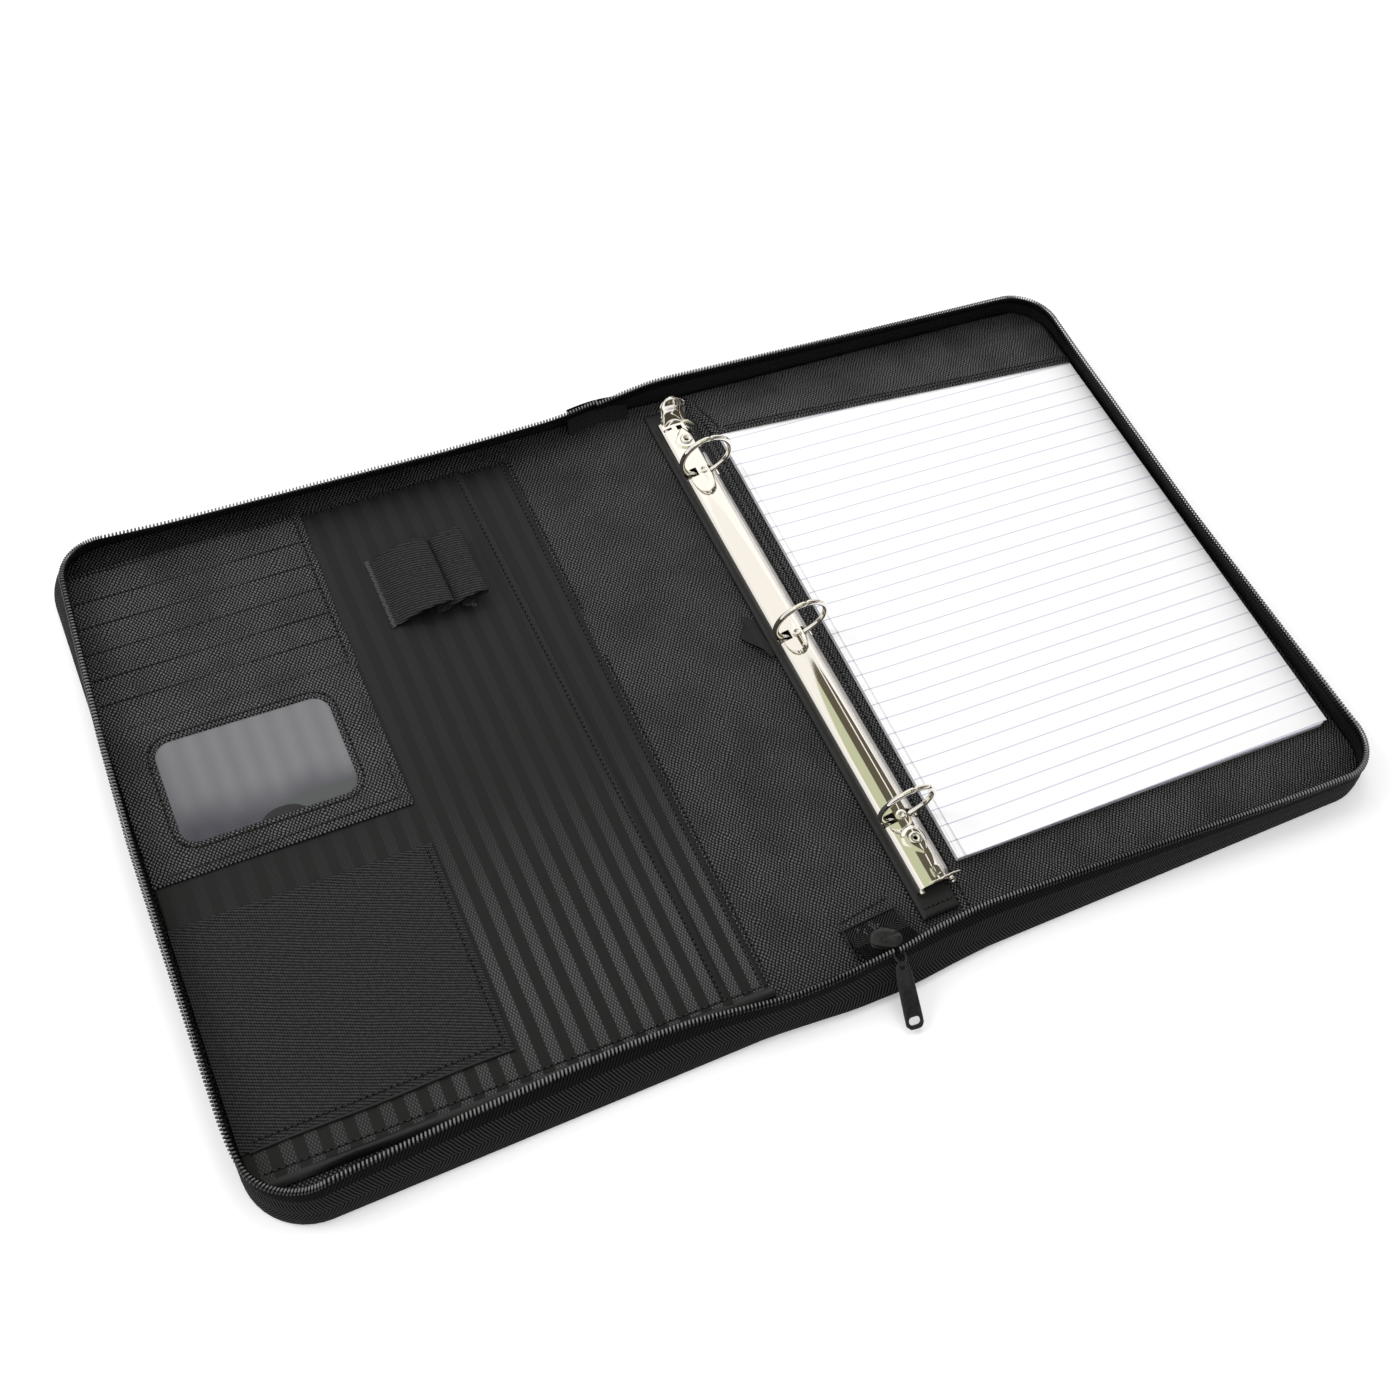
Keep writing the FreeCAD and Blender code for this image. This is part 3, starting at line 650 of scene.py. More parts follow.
# Painted shade for the grooves under the stitch rows.
GROOVE_SHADE = stitch_groove_shade()
PILE = speckled("hook_and_loop", (0.012, 0.012, 0.012), 0.9, 0.5, 3.0, (0.004, 0.004, 0.004),
                (0.03, 0.03, 0.03), 0.3, Sheen_Weight=0.2)


# ---- stitching ----------------------------------------------------------------------------

STITCHES = {}


def stitch(body, path, pitch=3.1, length=2.3, lift=0.12):
    """Adds a row of stitches along a path of plan points and heights to a body's sewing."""
    path = np.array([(p[0], p[1], p[2] + lift) for p in path], float)
    STITCHES.setdefault(body, []).append((path, pitch, length))


def one_stitch(place, direction, length, radius=0.3):
    """A short capsule of thread that dips at both ends."""
    steps = np.array([-0.5, -0.38, -0.15, 0.15, 0.38, 0.5])
    dip = np.array([-0.3, -0.06, 0.06, 0.06, -0.06, -0.3])
    path = place + direction[None] * (steps * length)[:, None] + np.array([0, 0, 1.0]) * dip[:, None]
    return tube(path, radius * np.array([0.55, 0.9, 1, 1, 0.9, 0.55]), 6)


def shade_ribbon(path):
    """A narrow dark ribbon under a row of stitches: painted shade standing in for the shadow in their
    groove.
    """
    width, drop = 0.85, 0.05
    path = np.asarray(path, float) - np.array([0, 0, drop])
    _, side = frames_along(path)
    left = path - side * width / 2
    right = path + side * width / 2
    count = len(path)
    faces = [[i, i + 1, count + i + 1, count + i] for i in range(count - 1)]
    return np.concatenate([left, right]), faces


def sew(body, name):
    """Builds one object from all the stitches that a body has, with the painted-shade ribbons under them."""
    threads, ribbons = [], []
    for path, pitch, length in STITCHES[body]:
        ribbons.append(shade_ribbon(path))
        places, directions = even_points(path, pitch)
        for place, direction in zip(places, directions):
            turned = direction + np.array([RANDOM.uniform(-0.05, 0.05), RANDOM.uniform(-0.05, 0.05), 0])
            threads.append(one_stitch(place, turned / np.linalg.norm(turned), length))
    thread_points, thread_faces = joined(threads)
    ribbon_points, ribbon_faces = joined(ribbons)
    points = np.concatenate([thread_points, ribbon_points])
    faces = thread_faces + [[v + len(thread_points) for v in face] for face in ribbon_faces]
    marks = [0] * len(thread_faces) + [1] * len(ribbon_faces)
    return add_mesh(name, points, faces, [THREAD, GROOVE_SHADE], face_materials=marks)


# ---- covers: skins and linings ------------------------------------------------------------

def cover_grid(reach, half, corner):
    """Plan grid over one cover from the spine's middle outwards, with round outer corners."""
    near_fold = np.arange(0.0, CREASE + 14, 1.2)
    field = np.linspace(CREASE + 14, reach - corner, 46)
    angles = np.linspace(0, math.pi / 2, 12)[1:]
    xs = np.concatenate([near_fold, field, reach - corner + corner * np.sin(angles)])
    ys = np.sin(np.linspace(-1, 1, 90) * math.pi / 2 * 0.92) / math.sin(math.pi / 2 * 0.92)
    over = np.clip(xs - (reach - corner), 0, corner)
    ends = half - corner + np.sqrt(corner ** 2 - over ** 2)
    grid = np.zeros((len(xs), len(ys), 3))
    grid[..., 0] = xs[:, None]
    grid[..., 1] = ys[None, :] * ends[:, None]
    return grid


def outer_skin(side, sign):
    """The embossed outer face of one cover and half of the spine."""
    top = cover_grid(REACH, HALF_LENGTH, CORNER)
    top[..., 2] = 0.85
    bottom = cover_grid(REACH - 0.9, HALF_LENGTH - 0.9, CORNER - 0.9)
    groove = np.exp(-((np.abs(bottom[..., 0]) - CREASE) / 1.6) ** 2)
    bottom[..., 2] = 0.45 * groove
    top[..., 0] *= sign
    bottom[..., 0] *= sign
    piece = sheet_mesh(f"{side}_outer_skin_sheet", top, 0, SKIN, bottom=bottom)
    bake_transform(piece)
    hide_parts(f"{side}_outer_skin", "spine_outer_skin")


def lining_height(x, y):
    """Height of the inner lining, which swells over the spine and dips at the fold lines."""
    spine = 0.9 * np.exp(-(x / 13.0) ** 2)
    far_swell = 1.6 * np.exp(-((x - 6) / 22.0) ** 2) * np.clip((y - 60) / 100, 0, 1) ** 2
    folds = -0.3 * np.exp(-((np.abs(x) - CREASE) / 3.0) ** 2)
    covered = 0.2 * np.clip((-52 - x) / 4, 0, 1) + 0.2 * np.clip((x - 46) / 4, 0, 1)
    return LINING_TOP + 0.2 + spine + far_swell + folds + waves(x, y, 46.0, 0.2, 1.0) - covered


def lining(side, sign):
    """The leatherette lining of one cover and half of the spine."""
    top = cover_grid(REACH - 2.6, HALF_LENGTH - 2.6, CORNER - 2.6)
    top[..., 0] *= sign
    top[..., 2] = lining_height(top[..., 0], top[..., 1])
    bottom = top.copy()
    bottom[..., 2] -= 0.3
    piece = sheet_mesh(f"{side}_lining_sheet", top, 0, LINING, bottom=bottom)
    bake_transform(piece)
    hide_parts(f"{side}_lining", "spine_lining")


# ---- walls and zip ------------------------------------------------------------------------

# How far the zip stands inside the cover's edge, by the distance along the cover's outline from
# the middle of the spine at the near end: near side, outer side, far side.
BACK_LEAN = [(0, 8), (20, 11), (47, 13), (100, 10.5), (150, 8), (220, 4.5), (262, 3.5), (299, 5.5),
             (443, 8.5), (560, 7), (610, 5), (640, 4), (700, 3), (851, 0.5), (872, 3.5), (886, 6.5)]
FRONT_LEAN = [(0, 9), (25, 7.2), (50, 7.0), (66, 9.0), (82, 11.5), (97, 13.5), (127, 14.3), (150, 14.0),
              (200, 12.4), (226, 10.8), (245, 9.8), (262, 8.5), (277, 6.5), (299, 0.8), (312, -0.6),
              (400, -1.0), (443, -1.0), (500, 0.8), (587, 6), (620, 9), (660, 11), (800, 11.0),
              (860, 8.5), (875, 6.5), (886, 4.5)]


def outline_path(sign, pitch):
    """Plan points, inward normals and distances along one cover's outline, near end first."""
    straight = REACH - CORNER
    side = 2 * (HALF_LENGTH - CORNER)
    arc = CORNER * math.pi / 2
    total = 2 * straight + side + 2 * arc
    along = np.linspace(0, total, int(total / pitch) + 1)
    points, normals = [], []
    for s in along:
        if s < straight:
            points.append((s, -HALF_LENGTH))
            normals.append((0, 1))
        elif s < straight + arc:
            a = (s - straight) / CORNER
            points.append((straight + CORNER * math.sin(a), -HALF_LENGTH + CORNER - CORNER * math.cos(a)))
            normals.append((-math.sin(a), math.cos(a)))
        elif s < straight + arc + side:
            points.append((REACH, -HALF_LENGTH + CORNER + s - straight - arc))
            normals.append((-1, 0))
        elif s < straight + 2 * arc + side:
            a = (s - straight - arc - side) / CORNER
            points.append((straight + CORNER * math.cos(a), HALF_LENGTH - CORNER + CORNER * math.sin(a)))
            normals.append((-math.cos(a), -math.sin(a)))
        else:
            points.append((total - s, HALF_LENGTH))
            normals.append((0, -1))
    flip = np.array([sign, 1])
    return np.array(points) * flip, np.array(normals) * flip, along


def lean_at(sign, along):
    """How far the zip line stands in from the outline, smoothly along it."""
    knots = BACK_LEAN if sign > 0 else FRONT_LEAN
    reach = np.arange(0, 887, 1.0)
    rough = np.interp(reach, *zip(*knots))
    kernel = np.hanning(31)
    padded = np.pad(rough, 15, mode="edge")
    return np.interp(along, reach, np.convolve(padded, kernel / kernel.sum(), "valid"))


def wall_surface(sign, along, points, normals, share, depth):
    """Points of the wall at a share of its height, a depth in from its outside."""
    lean = lean_at(sign, along)
    slump = 0.9 * np.exp(-(points[:, 0] / 34.0) ** 2)
    ripple = np.sin(along / 9.0) * 0.7 + np.sin(along / 4.3 + sign) * 0.5
    swell = math.sin(share * math.pi)
    creases = 0.35 * (math.exp(-((share - 0.34) / 0.05) ** 2) + math.exp(-((share - 0.67) / 0.05) ** 2))
    sag = np.exp(-((points[:, 0] + 8) / 42.0) ** 2) * (points[:, 1] < 0)
    foot = share / 0.12 * math.exp(1 - share / 0.12)
    inset = lean * share ** 1.3 - 0.5 * swell + creases + slump * ripple * swell + depth - 4.6 * sag * foot
    wander = 0.35 * np.sin(along / 47.0 + 2.0 * sign) * np.clip(np.abs(points[:, 0]) / 30, 0, 1)
    plan = points + normals * inset[:, None]
    height = np.full(len(along), 0.8 + (WALL_HEIGHT - 0.8) * share) + wander * share
    return np.column_stack([plan, height])


def wall(side, sign):
    """The soft tape wall round one cover: out, over the top edge, and down the inside."""
    points, normals, along = outline_path(sign, 2.4)
    thickness = 1.3
    outer = [wall_surface(sign, along, points, normals, s, 0.05) for s in np.linspace(0, 1, 15)]
    inner = [wall_surface(sign, along, points, normals, s, thickness) for s in np.linspace(1, 0.13, 13)]
    rows = np.array(outer + inner).transpose(1, 0, 2)
    heights = rows[..., 2]
    uv = np.stack([np.broadcast_to(along[:, None], heights.shape), heights], axis=-1)
    count_along, count_up = rows.shape[:2]
    index = np.arange(count_along * count_up).reshape(count_along, count_up)
    faces = []
    for i in range(count_along - 1):
        for j in range(count_up):
            k = (j + 1) % count_up
            faces.append([index[i, j], index[i + 1, j], index[i + 1, k], index[i, k]])
    faces.append(index[0].tolist()[::-1])
    faces.append(index[-1].tolist())
    piece = add_mesh(f"{side}_wall", rows.reshape(-1, 3), faces, TAPE, uv.reshape(-1, 2), sharp=60)
    fold_wall(piece)
    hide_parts(f"{side}_gusset", f"{side}_zipper_tape")
    flat = developed(rows[:, :len(outer)])


def fold_wall(piece):
    """Bakes a wall piece's placement into its mesh."""
    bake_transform(piece)


def teeth(side, sign):
    """The zip's coil elements: short rods bent over the tape's top edge, one by one."""
    points, normals, along = outline_path(sign, 1.72)
    top = wall_surface(sign, along, points, normals, 1.0, 0.65)
    bow = [(-0.9, -1.0), (-1.6, -0.1), (-1.55, 0.7), (-0.6, 1.45), (0.15, 1.5), (0.8, 0.8), (0.95, -0.4)]
    radii = [0.3, 0.38, 0.42, 0.44, 0.44, 0.4, 0.32]
    parts = []
    for i in range(1, len(along)):
        inward = np.array([normals[i, 0], normals[i, 1], 0])
        tangent = np.array([normals[i, 1], -normals[i, 0], 0])
        path = []
        for across, rise in bow:
            path.append(top[i] + inward * across + tangent * across * 0.22 + np.array([0, 0, rise]))
        parts.append(tube(path, radii, 7, up=tangent))
    mesh_points, faces = joined(parts)
    piece = add_mesh(f"{side}_zip_teeth", mesh_points, faces, COIL, sharp=70)
    fold_wall(piece)
    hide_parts(f"{side}_zipper_chain")


# ---- flat pieces --------------------------------------------------------------------------

def quad_grid(corners, step, bends=()):
    """Grid over four plan corners (near left, near right, far right, far left), with close rows
    at its borders and at the distances in bends, and each point's distances from the four sides."""
    a, b, c, d = [np.array(corner, float) for corner in corners]
    width = np.linalg.norm(b - a + c - d) / 2
    length = np.linalg.norm(d - a + c - b) / 2
    rows = []
    for size in (width, length):
        close = [0, 0.25, 0.6, 1.2, *bends]
        count = max(2, int((size - 2 * max(close)) / step))
        middle = np.linspace(max(close) + 0.5, size - max(close) - 0.5, count)
        rows.append(np.array(sorted([*close, *middle, *[size - k for k in close]])))
    u = (rows[0] / width)[:, None, None]
    v = (rows[1] / length)[None, :, None]
    plan = (a * (1 - u) + b * u) * (1 - v) + (d * (1 - u) + c * u) * v
    left = np.broadcast_to(rows[0][:, None], plan.shape[:2])
    near = np.broadcast_to(rows[1][None, :], plan.shape[:2])
    sides = {"left": left, "right": width - left, "near": near, "far": length - near}
    sides["any"] = np.minimum(np.minimum(left, width - left), np.minimum(near, length - near))
    return plan, sides


def inside_wall(plan):
    """Moves plan points that are past a cover's wall in to it, round corners included."""
    margin = 2.4
    plan = plan.copy()
    side = np.sign(plan[..., 0])
    centre = np.array([REACH - CORNER, HALF_LENGTH - CORNER])
    over = np.abs(plan) - centre
    corner = (over[..., 0] > 0) & (over[..., 1] > 0)
    reach = np.hypot(over[..., 0], over[..., 1])
    scale = np.where(corner, np.minimum(1, (CORNER - margin) / np.maximum(reach, 1e-6)), 1)
    held = np.minimum(centre + over * scale[..., None], centre + CORNER - margin)
    return np.where(over > 0, held, np.abs(plan)) * np.stack([side, np.sign(plan[..., 1])], axis=-1)


def developed(top):
    """Mean width and length, in metres, of a grid of points laid out flat."""
    width = np.linalg.norm(np.diff(top, axis=0), axis=2).sum(axis=0).mean()
    length = np.linalg.norm(np.diff(top, axis=1), axis=2).sum(axis=1).mean()
    return width * MM, length * MM


def flat_piece(name, body, corners, height, thickness, material, nodes, slot, bends=(), roll=0.3):
    """A cut sheet with rolled edges over four plan corners. height takes plan and side distances."""
    plan, sides = quad_grid(corners, 3.0, bends)
    plan = inside_wall(plan)
    level = height(plan[..., 0], plan[..., 1], sides)
    level = level - roll * np.clip(1 - sides["any"] / 0.8, 0, 1) ** 2
    top = np.dstack([plan, level])
    piece = sheet_mesh(name, top, thickness, material)
    belongs(piece, body, slot, *nodes)
    developed(top)


def between(a, b, share):
    return (a[0] + (b[0] - a[0]) * share, a[1] + (b[1] - a[1]) * share)


ROW_STEP = 4.0                          # between a seam's points, where it follows a sheet


def row_points(start, end, height):
    """Points on a straight plan line, at one height or at those of a function of x and y."""
    count = max(2, int(math.dist(start, end) / ROW_STEP))
    points = []
    for share in np.linspace(0, 1, count):
        x, y = between(start, end, share)
        points.append((x, y, height(x, y) if callable(height) else height))
    return points


def seam(body, start, end, height, pitch, length, lift=0.12):
    """A straight row of stitches between two plan points."""
    stitch(body, row_points(start, end, height), pitch, length, lift)


def step_up(distance, start, end):
    """0 before start, 1 after end, smooth between."""
    t = np.clip((distance - start) / (end - start), 0, 1)
    return t * t * (3 - 2 * t)


# ---- organiser on the front cover ---------------------------------------------------------

BACK_POCKET = [(-280.6, -150.9), (-54.8, -154.2), (-54.2, 157.2), (-280.4, 154.2)]
FRONT_POCKET = [(-280.7, -151.0), (-72.4, -154.6), (-78.5, 157.9), (-280.3, 154.2)]
CARD_TOPS = [156.4, 141.2, 127.0, 112.2, 97.6, 83.6]
ID_TOP, ID_BOTTOM = 68.2, -14.4
CARD_LEFT, CARD_RIGHT = (-280.9, -14.6), (-166.2, -12.2)
WINDOW = (-263.4, -184.0, 0.8, 53.6)     # left, right, near, far
WINDOW_CORNER = 8.0
LOOP_NEAR, LOOP_FAR = 78.2, 118.4       # edges of the pen loops' strap, along Y
ELASTIC_POCKET = [(-281.0, -136.3), (-166.3, -136.3), (-165.0, -35.6), (-281.0, -34.8)]


def back_pocket_height(x, y, sides=None):
    ripple = 0.3 * np.sin(y / 8.5) * np.exp(-((x + 54.5) / 4.0) ** 2)
    return 4.2 + ripple + waves(x, y, 42.0, 0.2, 2.0)


def front_pocket_height(x, y, sides=None):
    edge = -72.4 - 6.1 * (y + 154.6) / 312.5
    hem = 0.3 * (1 - step_up(edge - x, 3.3, 3.9))
    lift = 0.55 * np.exp(-((x - edge) / 7.0) ** 2) * (0.6 - 0.4 * np.sin(y / 55.0))
    return 4.85 + hem + lift + waves(x, y, 50.0, 0.28, 3.0)


def satin_pockets():
    """Two overlapping satin pockets, open towards the spine."""
    flat_piece("back_pocket_sheet", "front_cover", BACK_POCKET, back_pocket_height, 0.45, SATIN,
               ["back_pocket"], "pocket_lining")
    flat_piece("front_pocket_sheet", "front_cover", FRONT_POCKET, front_pocket_height, 0.45, SATIN,
               ["front_pocket"], "pocket_lining", bends=(3.3, 3.9))
    seam("front_cover", (-57.3, -150.6), (-57.0, 154.0), back_pocket_height, 2.7, 1.9)
    seam("front_cover", (-52.8, -150.6), (-52.6, 156.0), 3.55, 2.7, 1.7)
    seam("front_cover", (-75.9, -150.0), (-81.8, 154.0), front_pocket_height, 2.7, 1.9)
    seam("front_cover", (-274.5, -146.6), (-74.0, -150.8), front_pocket_height, 3.0, 2.2)
    seam("front_cover", (-72.0, -150.9), (-55.5, -151.2), back_pocket_height, 3.0, 2.2)
    seam("front_cover", (-160.0, 155.6), (-80.0, 156.3), front_pocket_height, 2.7, 2.0)
    seam("front_cover", (-77.0, 155.3), (-55.0, 155.4), back_pocket_height, 2.7, 2.0)


def pocket_binding():
    """The leatherette binding along the pockets' near edge, which rolls up beside the corner."""
    along = np.linspace(-276, -53.5, 96)
    profile = np.linspace(0, 1, 9)
    centre = -150.6 - 3.8 * (along + 276) / 222.5
    top = np.zeros((len(along), len(profile), 3))
    swell = 1.2 * np.exp(-((along + 238) / 16.0) ** 2) + 0.35 * np.sin(along / 21.0)
    top[..., 0] = along[:, None]
    top[..., 1] = centre[:, None] - 4.6 * (profile[None, :] - 0.35)
    arch = np.sin(profile * math.pi)[None, :]
    top[..., 2] = 4.6 + arch * (1.0 + swell[:, None]) + 0.25 * np.sin(along / 5.0)[:, None] * arch
    piece = sheet_mesh("pocket_binding", top, 0.9, SMOOTH)
    belongs(piece, "front_cover", "pocket_lining")


def card_side(y, left=True):
    """X of the card panel's left or right edge at a height up the cover."""
    low, high = (CARD_LEFT, (-280.3, 154.4)) if left else (CARD_RIGHT, (-162.8, 157.0))
    return low[0] + (high[0] - low[0]) * (y - low[1]) / (high[1] - low[1])


def card_strips():
    """Six card slots, each strip lapping over the one above it, like shingles."""
    ends = CARD_TOPS[1:] + [ID_TOP]
    for number, (high, below) in enumerate(zip(CARD_TOPS, ends), 1):
        low = below - 4.0
        jog = 0.35 * math.sin(number * 2.3)
        corners = [(card_side(low), low), (card_side(low, False) + jog, low),
                   (card_side(high, False) + jog, high + 0.5), (card_side(high), high - 1.2)]

        def height(x, y, sides):
            rise = 0.55 * (1 - sides["far"] / sides["far"].max())
            bow = 0.12 * np.sin((x + 276) / 112 * math.pi) * (1 - step_up(sides["far"], 0, 5))
            return 5.45 + rise + bow

        flat_piece(f"card_strip_{number}", "front_cover", corners, height, 0.45, PANEL,
                   [f"card_slot_{number}"], "card_leatherette")
        left, right = card_side(high) + 3, card_side(high, False) - 3.6
        seam("front_cover", (left, high - 2.9), (right, high - 1.3), 5.95, 2.9, 2.1)
    far, near = card_side(154, False) - 3.4, card_side(70, False) - 3.4
    seam("front_cover", (far, 154.4), (near, 69.5), 5.9, 2.9, 2.0)


def window_loop(grow=0.0):
    left, right, near, far = WINDOW
    return rounded_loop(left - grow, right + grow, near - grow, far + grow, WINDOW_CORNER + grow, 10)


def id_sides(inset):
    """The ID panel's left, right, near and far sides, moved in by inset."""
    return card_side(20) + inset, card_side(20, False) - inset, ID_BOTTOM + inset, ID_TOP - inset


def panel_loop(inset):
    """Outline of the ID panel, matched point for point with the window's."""
    inner = window_loop()
    centre = np.array([(WINDOW[0] + WINDOW[1]) / 2, (WINDOW[2] + WINDOW[3]) / 2])
    left, right, low, high = id_sides(inset)
    outline = []
    for point in inner:
        direction = np.array(point) - centre
        reach = []
        for goal, axis in ((left, 0), (right, 0), (low, 1), (high, 1)):
            if abs(direction[axis]) > 1e-6:
                share = (goal - centre[axis]) / direction[axis]
                reach.append(share if share > 0 else 1e9)
        outline.append(tuple(centre + direction * min(reach)))
    return id_corners(outline, inset)


def ring_mesh(name, loops, material):
    """A closed ring from matched loops of 3-D points, each joined to the next one."""
    points = np.concatenate([np.array(loop, float) for loop in loops])
    faces = ring_faces(len(loops), len(loops[0]))
    return add_mesh(name, points, faces, material, uvs=points[:, :2], sharp=50)


def id_corners(loop, inset):
    """Moves the points nearest the panel's corners out to them."""
    left, right, low, high = id_sides(inset)
    loop = [list(p) for p in loop]
    for corner in ((left, low), (right, low), (left, high), (right, high)):
        nearest = min(range(len(loop)), key=lambda i: math.dist(loop[i], corner))
        loop[nearest] = list(corner)
    return loop


def id_panel():
    """The ID pocket's leatherette face with its window, and the stitching round both."""
    window = window_loop()
    mid = [between(p, q, 0.5) for p, q in zip(window, panel_loop(0))]
    loops = []
    for source, level in ((window, 5.55), (window_loop(0.25), 6.0), (window_loop(1.2), 6.2),
                            (window_loop(3.2), 6.12), (mid, 6.2), (panel_loop(1.6), 6.3),
                            (panel_loop(0.5), 6.15), (panel_loop(0), 5.8),
                            (panel_loop(0), 5.3), (mid, 5.3), (window, 5.3)):
        loops.append([(x, y, level) for x, y in source])
    piece = ring_mesh("id_panel", loops, PANEL)
    belongs(piece, "front_cover", "card_leatherette", "id_pocket")
    width, length = card_side(20, False) - card_side(20), ID_TOP - ID_BOTTOM
    round_window = [(x, y, 6.1) for x, y in window_loop(2.9)]
    stitch("front_cover", round_window + round_window[:1], 2.8, 2.0)
    for start, end, pitch, length in (
            ((-273.5, -11.2), (card_side(-10, False) - 3.4, -9.4), 2.8, 2.1),
            ((card_side(-9, False) - 3.4, -9.4), (card_side(66, False) - 3.4, 66.5), 2.8, 2.0),
            ((-270.8, 65.6), (card_side(66, False) - 3.6, 66.6), 2.9, 2.1)):
        seam("front_cover", start, end, 6.2, pitch, length)


def id_film():
    """The clear film behind the window, bowed up a little, with a thumb notch behind it."""
    left, right, near, far = WINDOW
    corners = [(left - 3, near - 3), (right + 3, near - 3), (right + 3, far + 3), (left - 3, far + 3)]
    plan, _ = quad_grid(corners, 2.5)
    top = np.dstack([plan, 5.3 + waves(plan[..., 0], plan[..., 1], 30.0, 0.12, 5.0)])
    film = sheet_mesh("id_film", top, 0.12, FILM)
    belongs(film, "front_cover", "clear_film", "id_window")
    developed(top)
    notch = [(-219.5 + 11.5 * math.cos(a), -3.2 + 8.2 * math.sin(a)) for a in np.linspace(0, math.pi, 22)]
    tongue = plate("thumb_notch", [notch], 5.3, 5.5, 0.05, SMOOTH)
    belongs(tongue, "front_cover", "card_leatherette")


def elastic_height(x, y):
    return 5.75 + waves(x, y, 38.0, 0.18, 4.0)


def elastic_pocket():
    """A ribbed elastic pocket with hemmed edges and a bound lower edge."""

    def height(x, y, sides):
        hem = 0.22 * (1 - step_up(np.minimum(sides["near"], sides["right"]), 3.2, 3.8))
        top_hem = 0.25 * (1 - step_up(sides["far"], 2.2, 2.7))
        return elastic_height(x, y) + np.maximum(hem, top_hem)

    flat_piece("elastic_pocket_sheet", "front_cover", ELASTIC_POCKET, height, 0.8, ELASTIC,
               ["elastic_pocket"], "elastic", bends=(2.2, 2.7, 3.2, 3.8))
    seam("front_cover", (-169.4, -133.0), (-168.2, -37.0), elastic_height, 2.6, 1.8, 0.35)
    seam("front_cover", (-274.5, -132.9), (-169.0, -132.9), elastic_height, 2.6, 1.9, 0.35)
    piping = [(x, -136.6 + 0.25 * math.sin(x / 11), 5.45) for x in np.linspace(-277, -166.2, 60)]
    points, faces = tube(piping, 0.75, 10)
    piece = add_mesh("elastic_piping", points, faces, SMOOTH)
    belongs(piece, "front_cover", "elastic")


def strap(name, profile, low_y, high_y, thickness, material):
    """A flat strap whose line in the XZ plane is profile, as wide as low_y to high_y."""
    line = smooth_path([(x, 0, z) for x, z in profile], 90)
    direction, _ = frames_along(line)
    normal = np.column_stack([-direction[:, 2], np.zeros(len(line)), direction[:, 0]])
    reach = np.concatenate([[0], np.cumsum(np.linalg.norm(np.diff(line, axis=0), axis=1))])
    across = np.array([0, 0.15, 0.5, 1.1, *np.linspace(2, high_y - low_y - 2, 20),
                       high_y - low_y - 1.1, high_y - low_y - 0.5, high_y - low_y - 0.15, high_y - low_y])
    edge = np.minimum(across, across[::-1])
    half = thickness / 2 * np.sqrt(np.clip(1 - (1 - np.clip(edge / 0.6, 0, 1)) ** 2, 0.02, 1))
    selvage = 0.12 * np.exp(-((edge - 0.8) / 0.5) ** 2)
    middle = line[:, None] + np.array([0, 1, 0]) * (low_y + across)[None, :, None]
    top = middle + normal[:, None] * (half + selvage)[None, :, None]
    bottom = middle - normal[:, None] * half[None, :, None]
    uv = np.dstack([np.broadcast_to(reach[:, None], top.shape[:2]),
                    np.broadcast_to(across[None, :], top.shape[:2])])
    piece = sheet_mesh(name, top, 0, material, uv=uv, bottom=bottom)
    return piece, reach[-1]


def pen_loops():
    """One elastic strap sewn down three times, which makes a wide and a narrow pen loop."""
    wide = [(-140.6, 5.5), (-138.4, 5.8), (-134.6, 8.4), (-129, 11.0), (-122, 12.9), (-115.6, 13.5),
            (-112.5, 13.0), (-112.2, 11.8), (-114.4, 9.3), (-117.4, 6.6), (-119.4, 5.5)]
    narrow = [(-119.0, 5.7), (-116.4, 6.0), (-111.8, 8.8), (-106.4, 11.8), (-100.0, 13.7),
              (-95.8, 13.9), (-94.3, 12.8), (-96.2, 10.0), (-100.4, 7.0), (-104.4, 5.5), (-106.8, 5.4)]
    for name, profile, node in (("pen_loop_wide_strap", wide, "pen_loop_wide"),
                                ("pen_loop_narrow_strap", narrow, "pen_loop_narrow")):
        piece, length = strap(name, profile, LOOP_NEAR, LOOP_FAR, 1.0, WEBBING)
        belongs(piece, "front_cover", "elastic", node)
    overlock = []
    for y in np.arange(LOOP_NEAR, LOOP_FAR + 0.2, 0.95):
        zigzag = np.array([0.97, 0.24, 0]) if RANDOM.random() < 0.5 else np.array([0.97, -0.24, 0])
        overlock.append(one_stitch(np.array([-141.6, y, 5.75]), zigzag, 2.3, 0.36))
    piece = solid("pen_loop_overlock", overlock, OVERLOCK)
    belongs(piece, "front_cover", "elastic", "pen_loop_anchor")
    stitch("front_cover", [(-137.4, y, 6.15) for y in (79.0, 92.0, 105.0, 117.6)], 3.2, 2.2)
    fray = []
    for _ in range(9):
        start = np.array([RANDOM.uniform(-106, -101.5), 78.3, RANDOM.uniform(5.4, 5.9)])
        reach = (RANDOM.uniform(0.8, 2.6), RANDOM.uniform(-2.2, -0.4), RANDOM.uniform(-0.2, 0.6))
        bend = start + np.array(reach)
        fray.append(tube(smooth_path([start, (start + bend) / 2 + (0, 0, 0.3), bend], 6), 0.11, 5))
    piece = solid("pen_loop_fray", fray, OVERLOCK)
    belongs(piece, "front_cover", "elastic")


# ---- writing pad side ---------------------------------------------------------------------

PAD_CENTRE = (166.0, 7.0)
PAD_SIZE = (215.9, 279.4)
PAD_TURN = -1.0
FIRST_RULE = 26.2                       # below the sheet's top edge


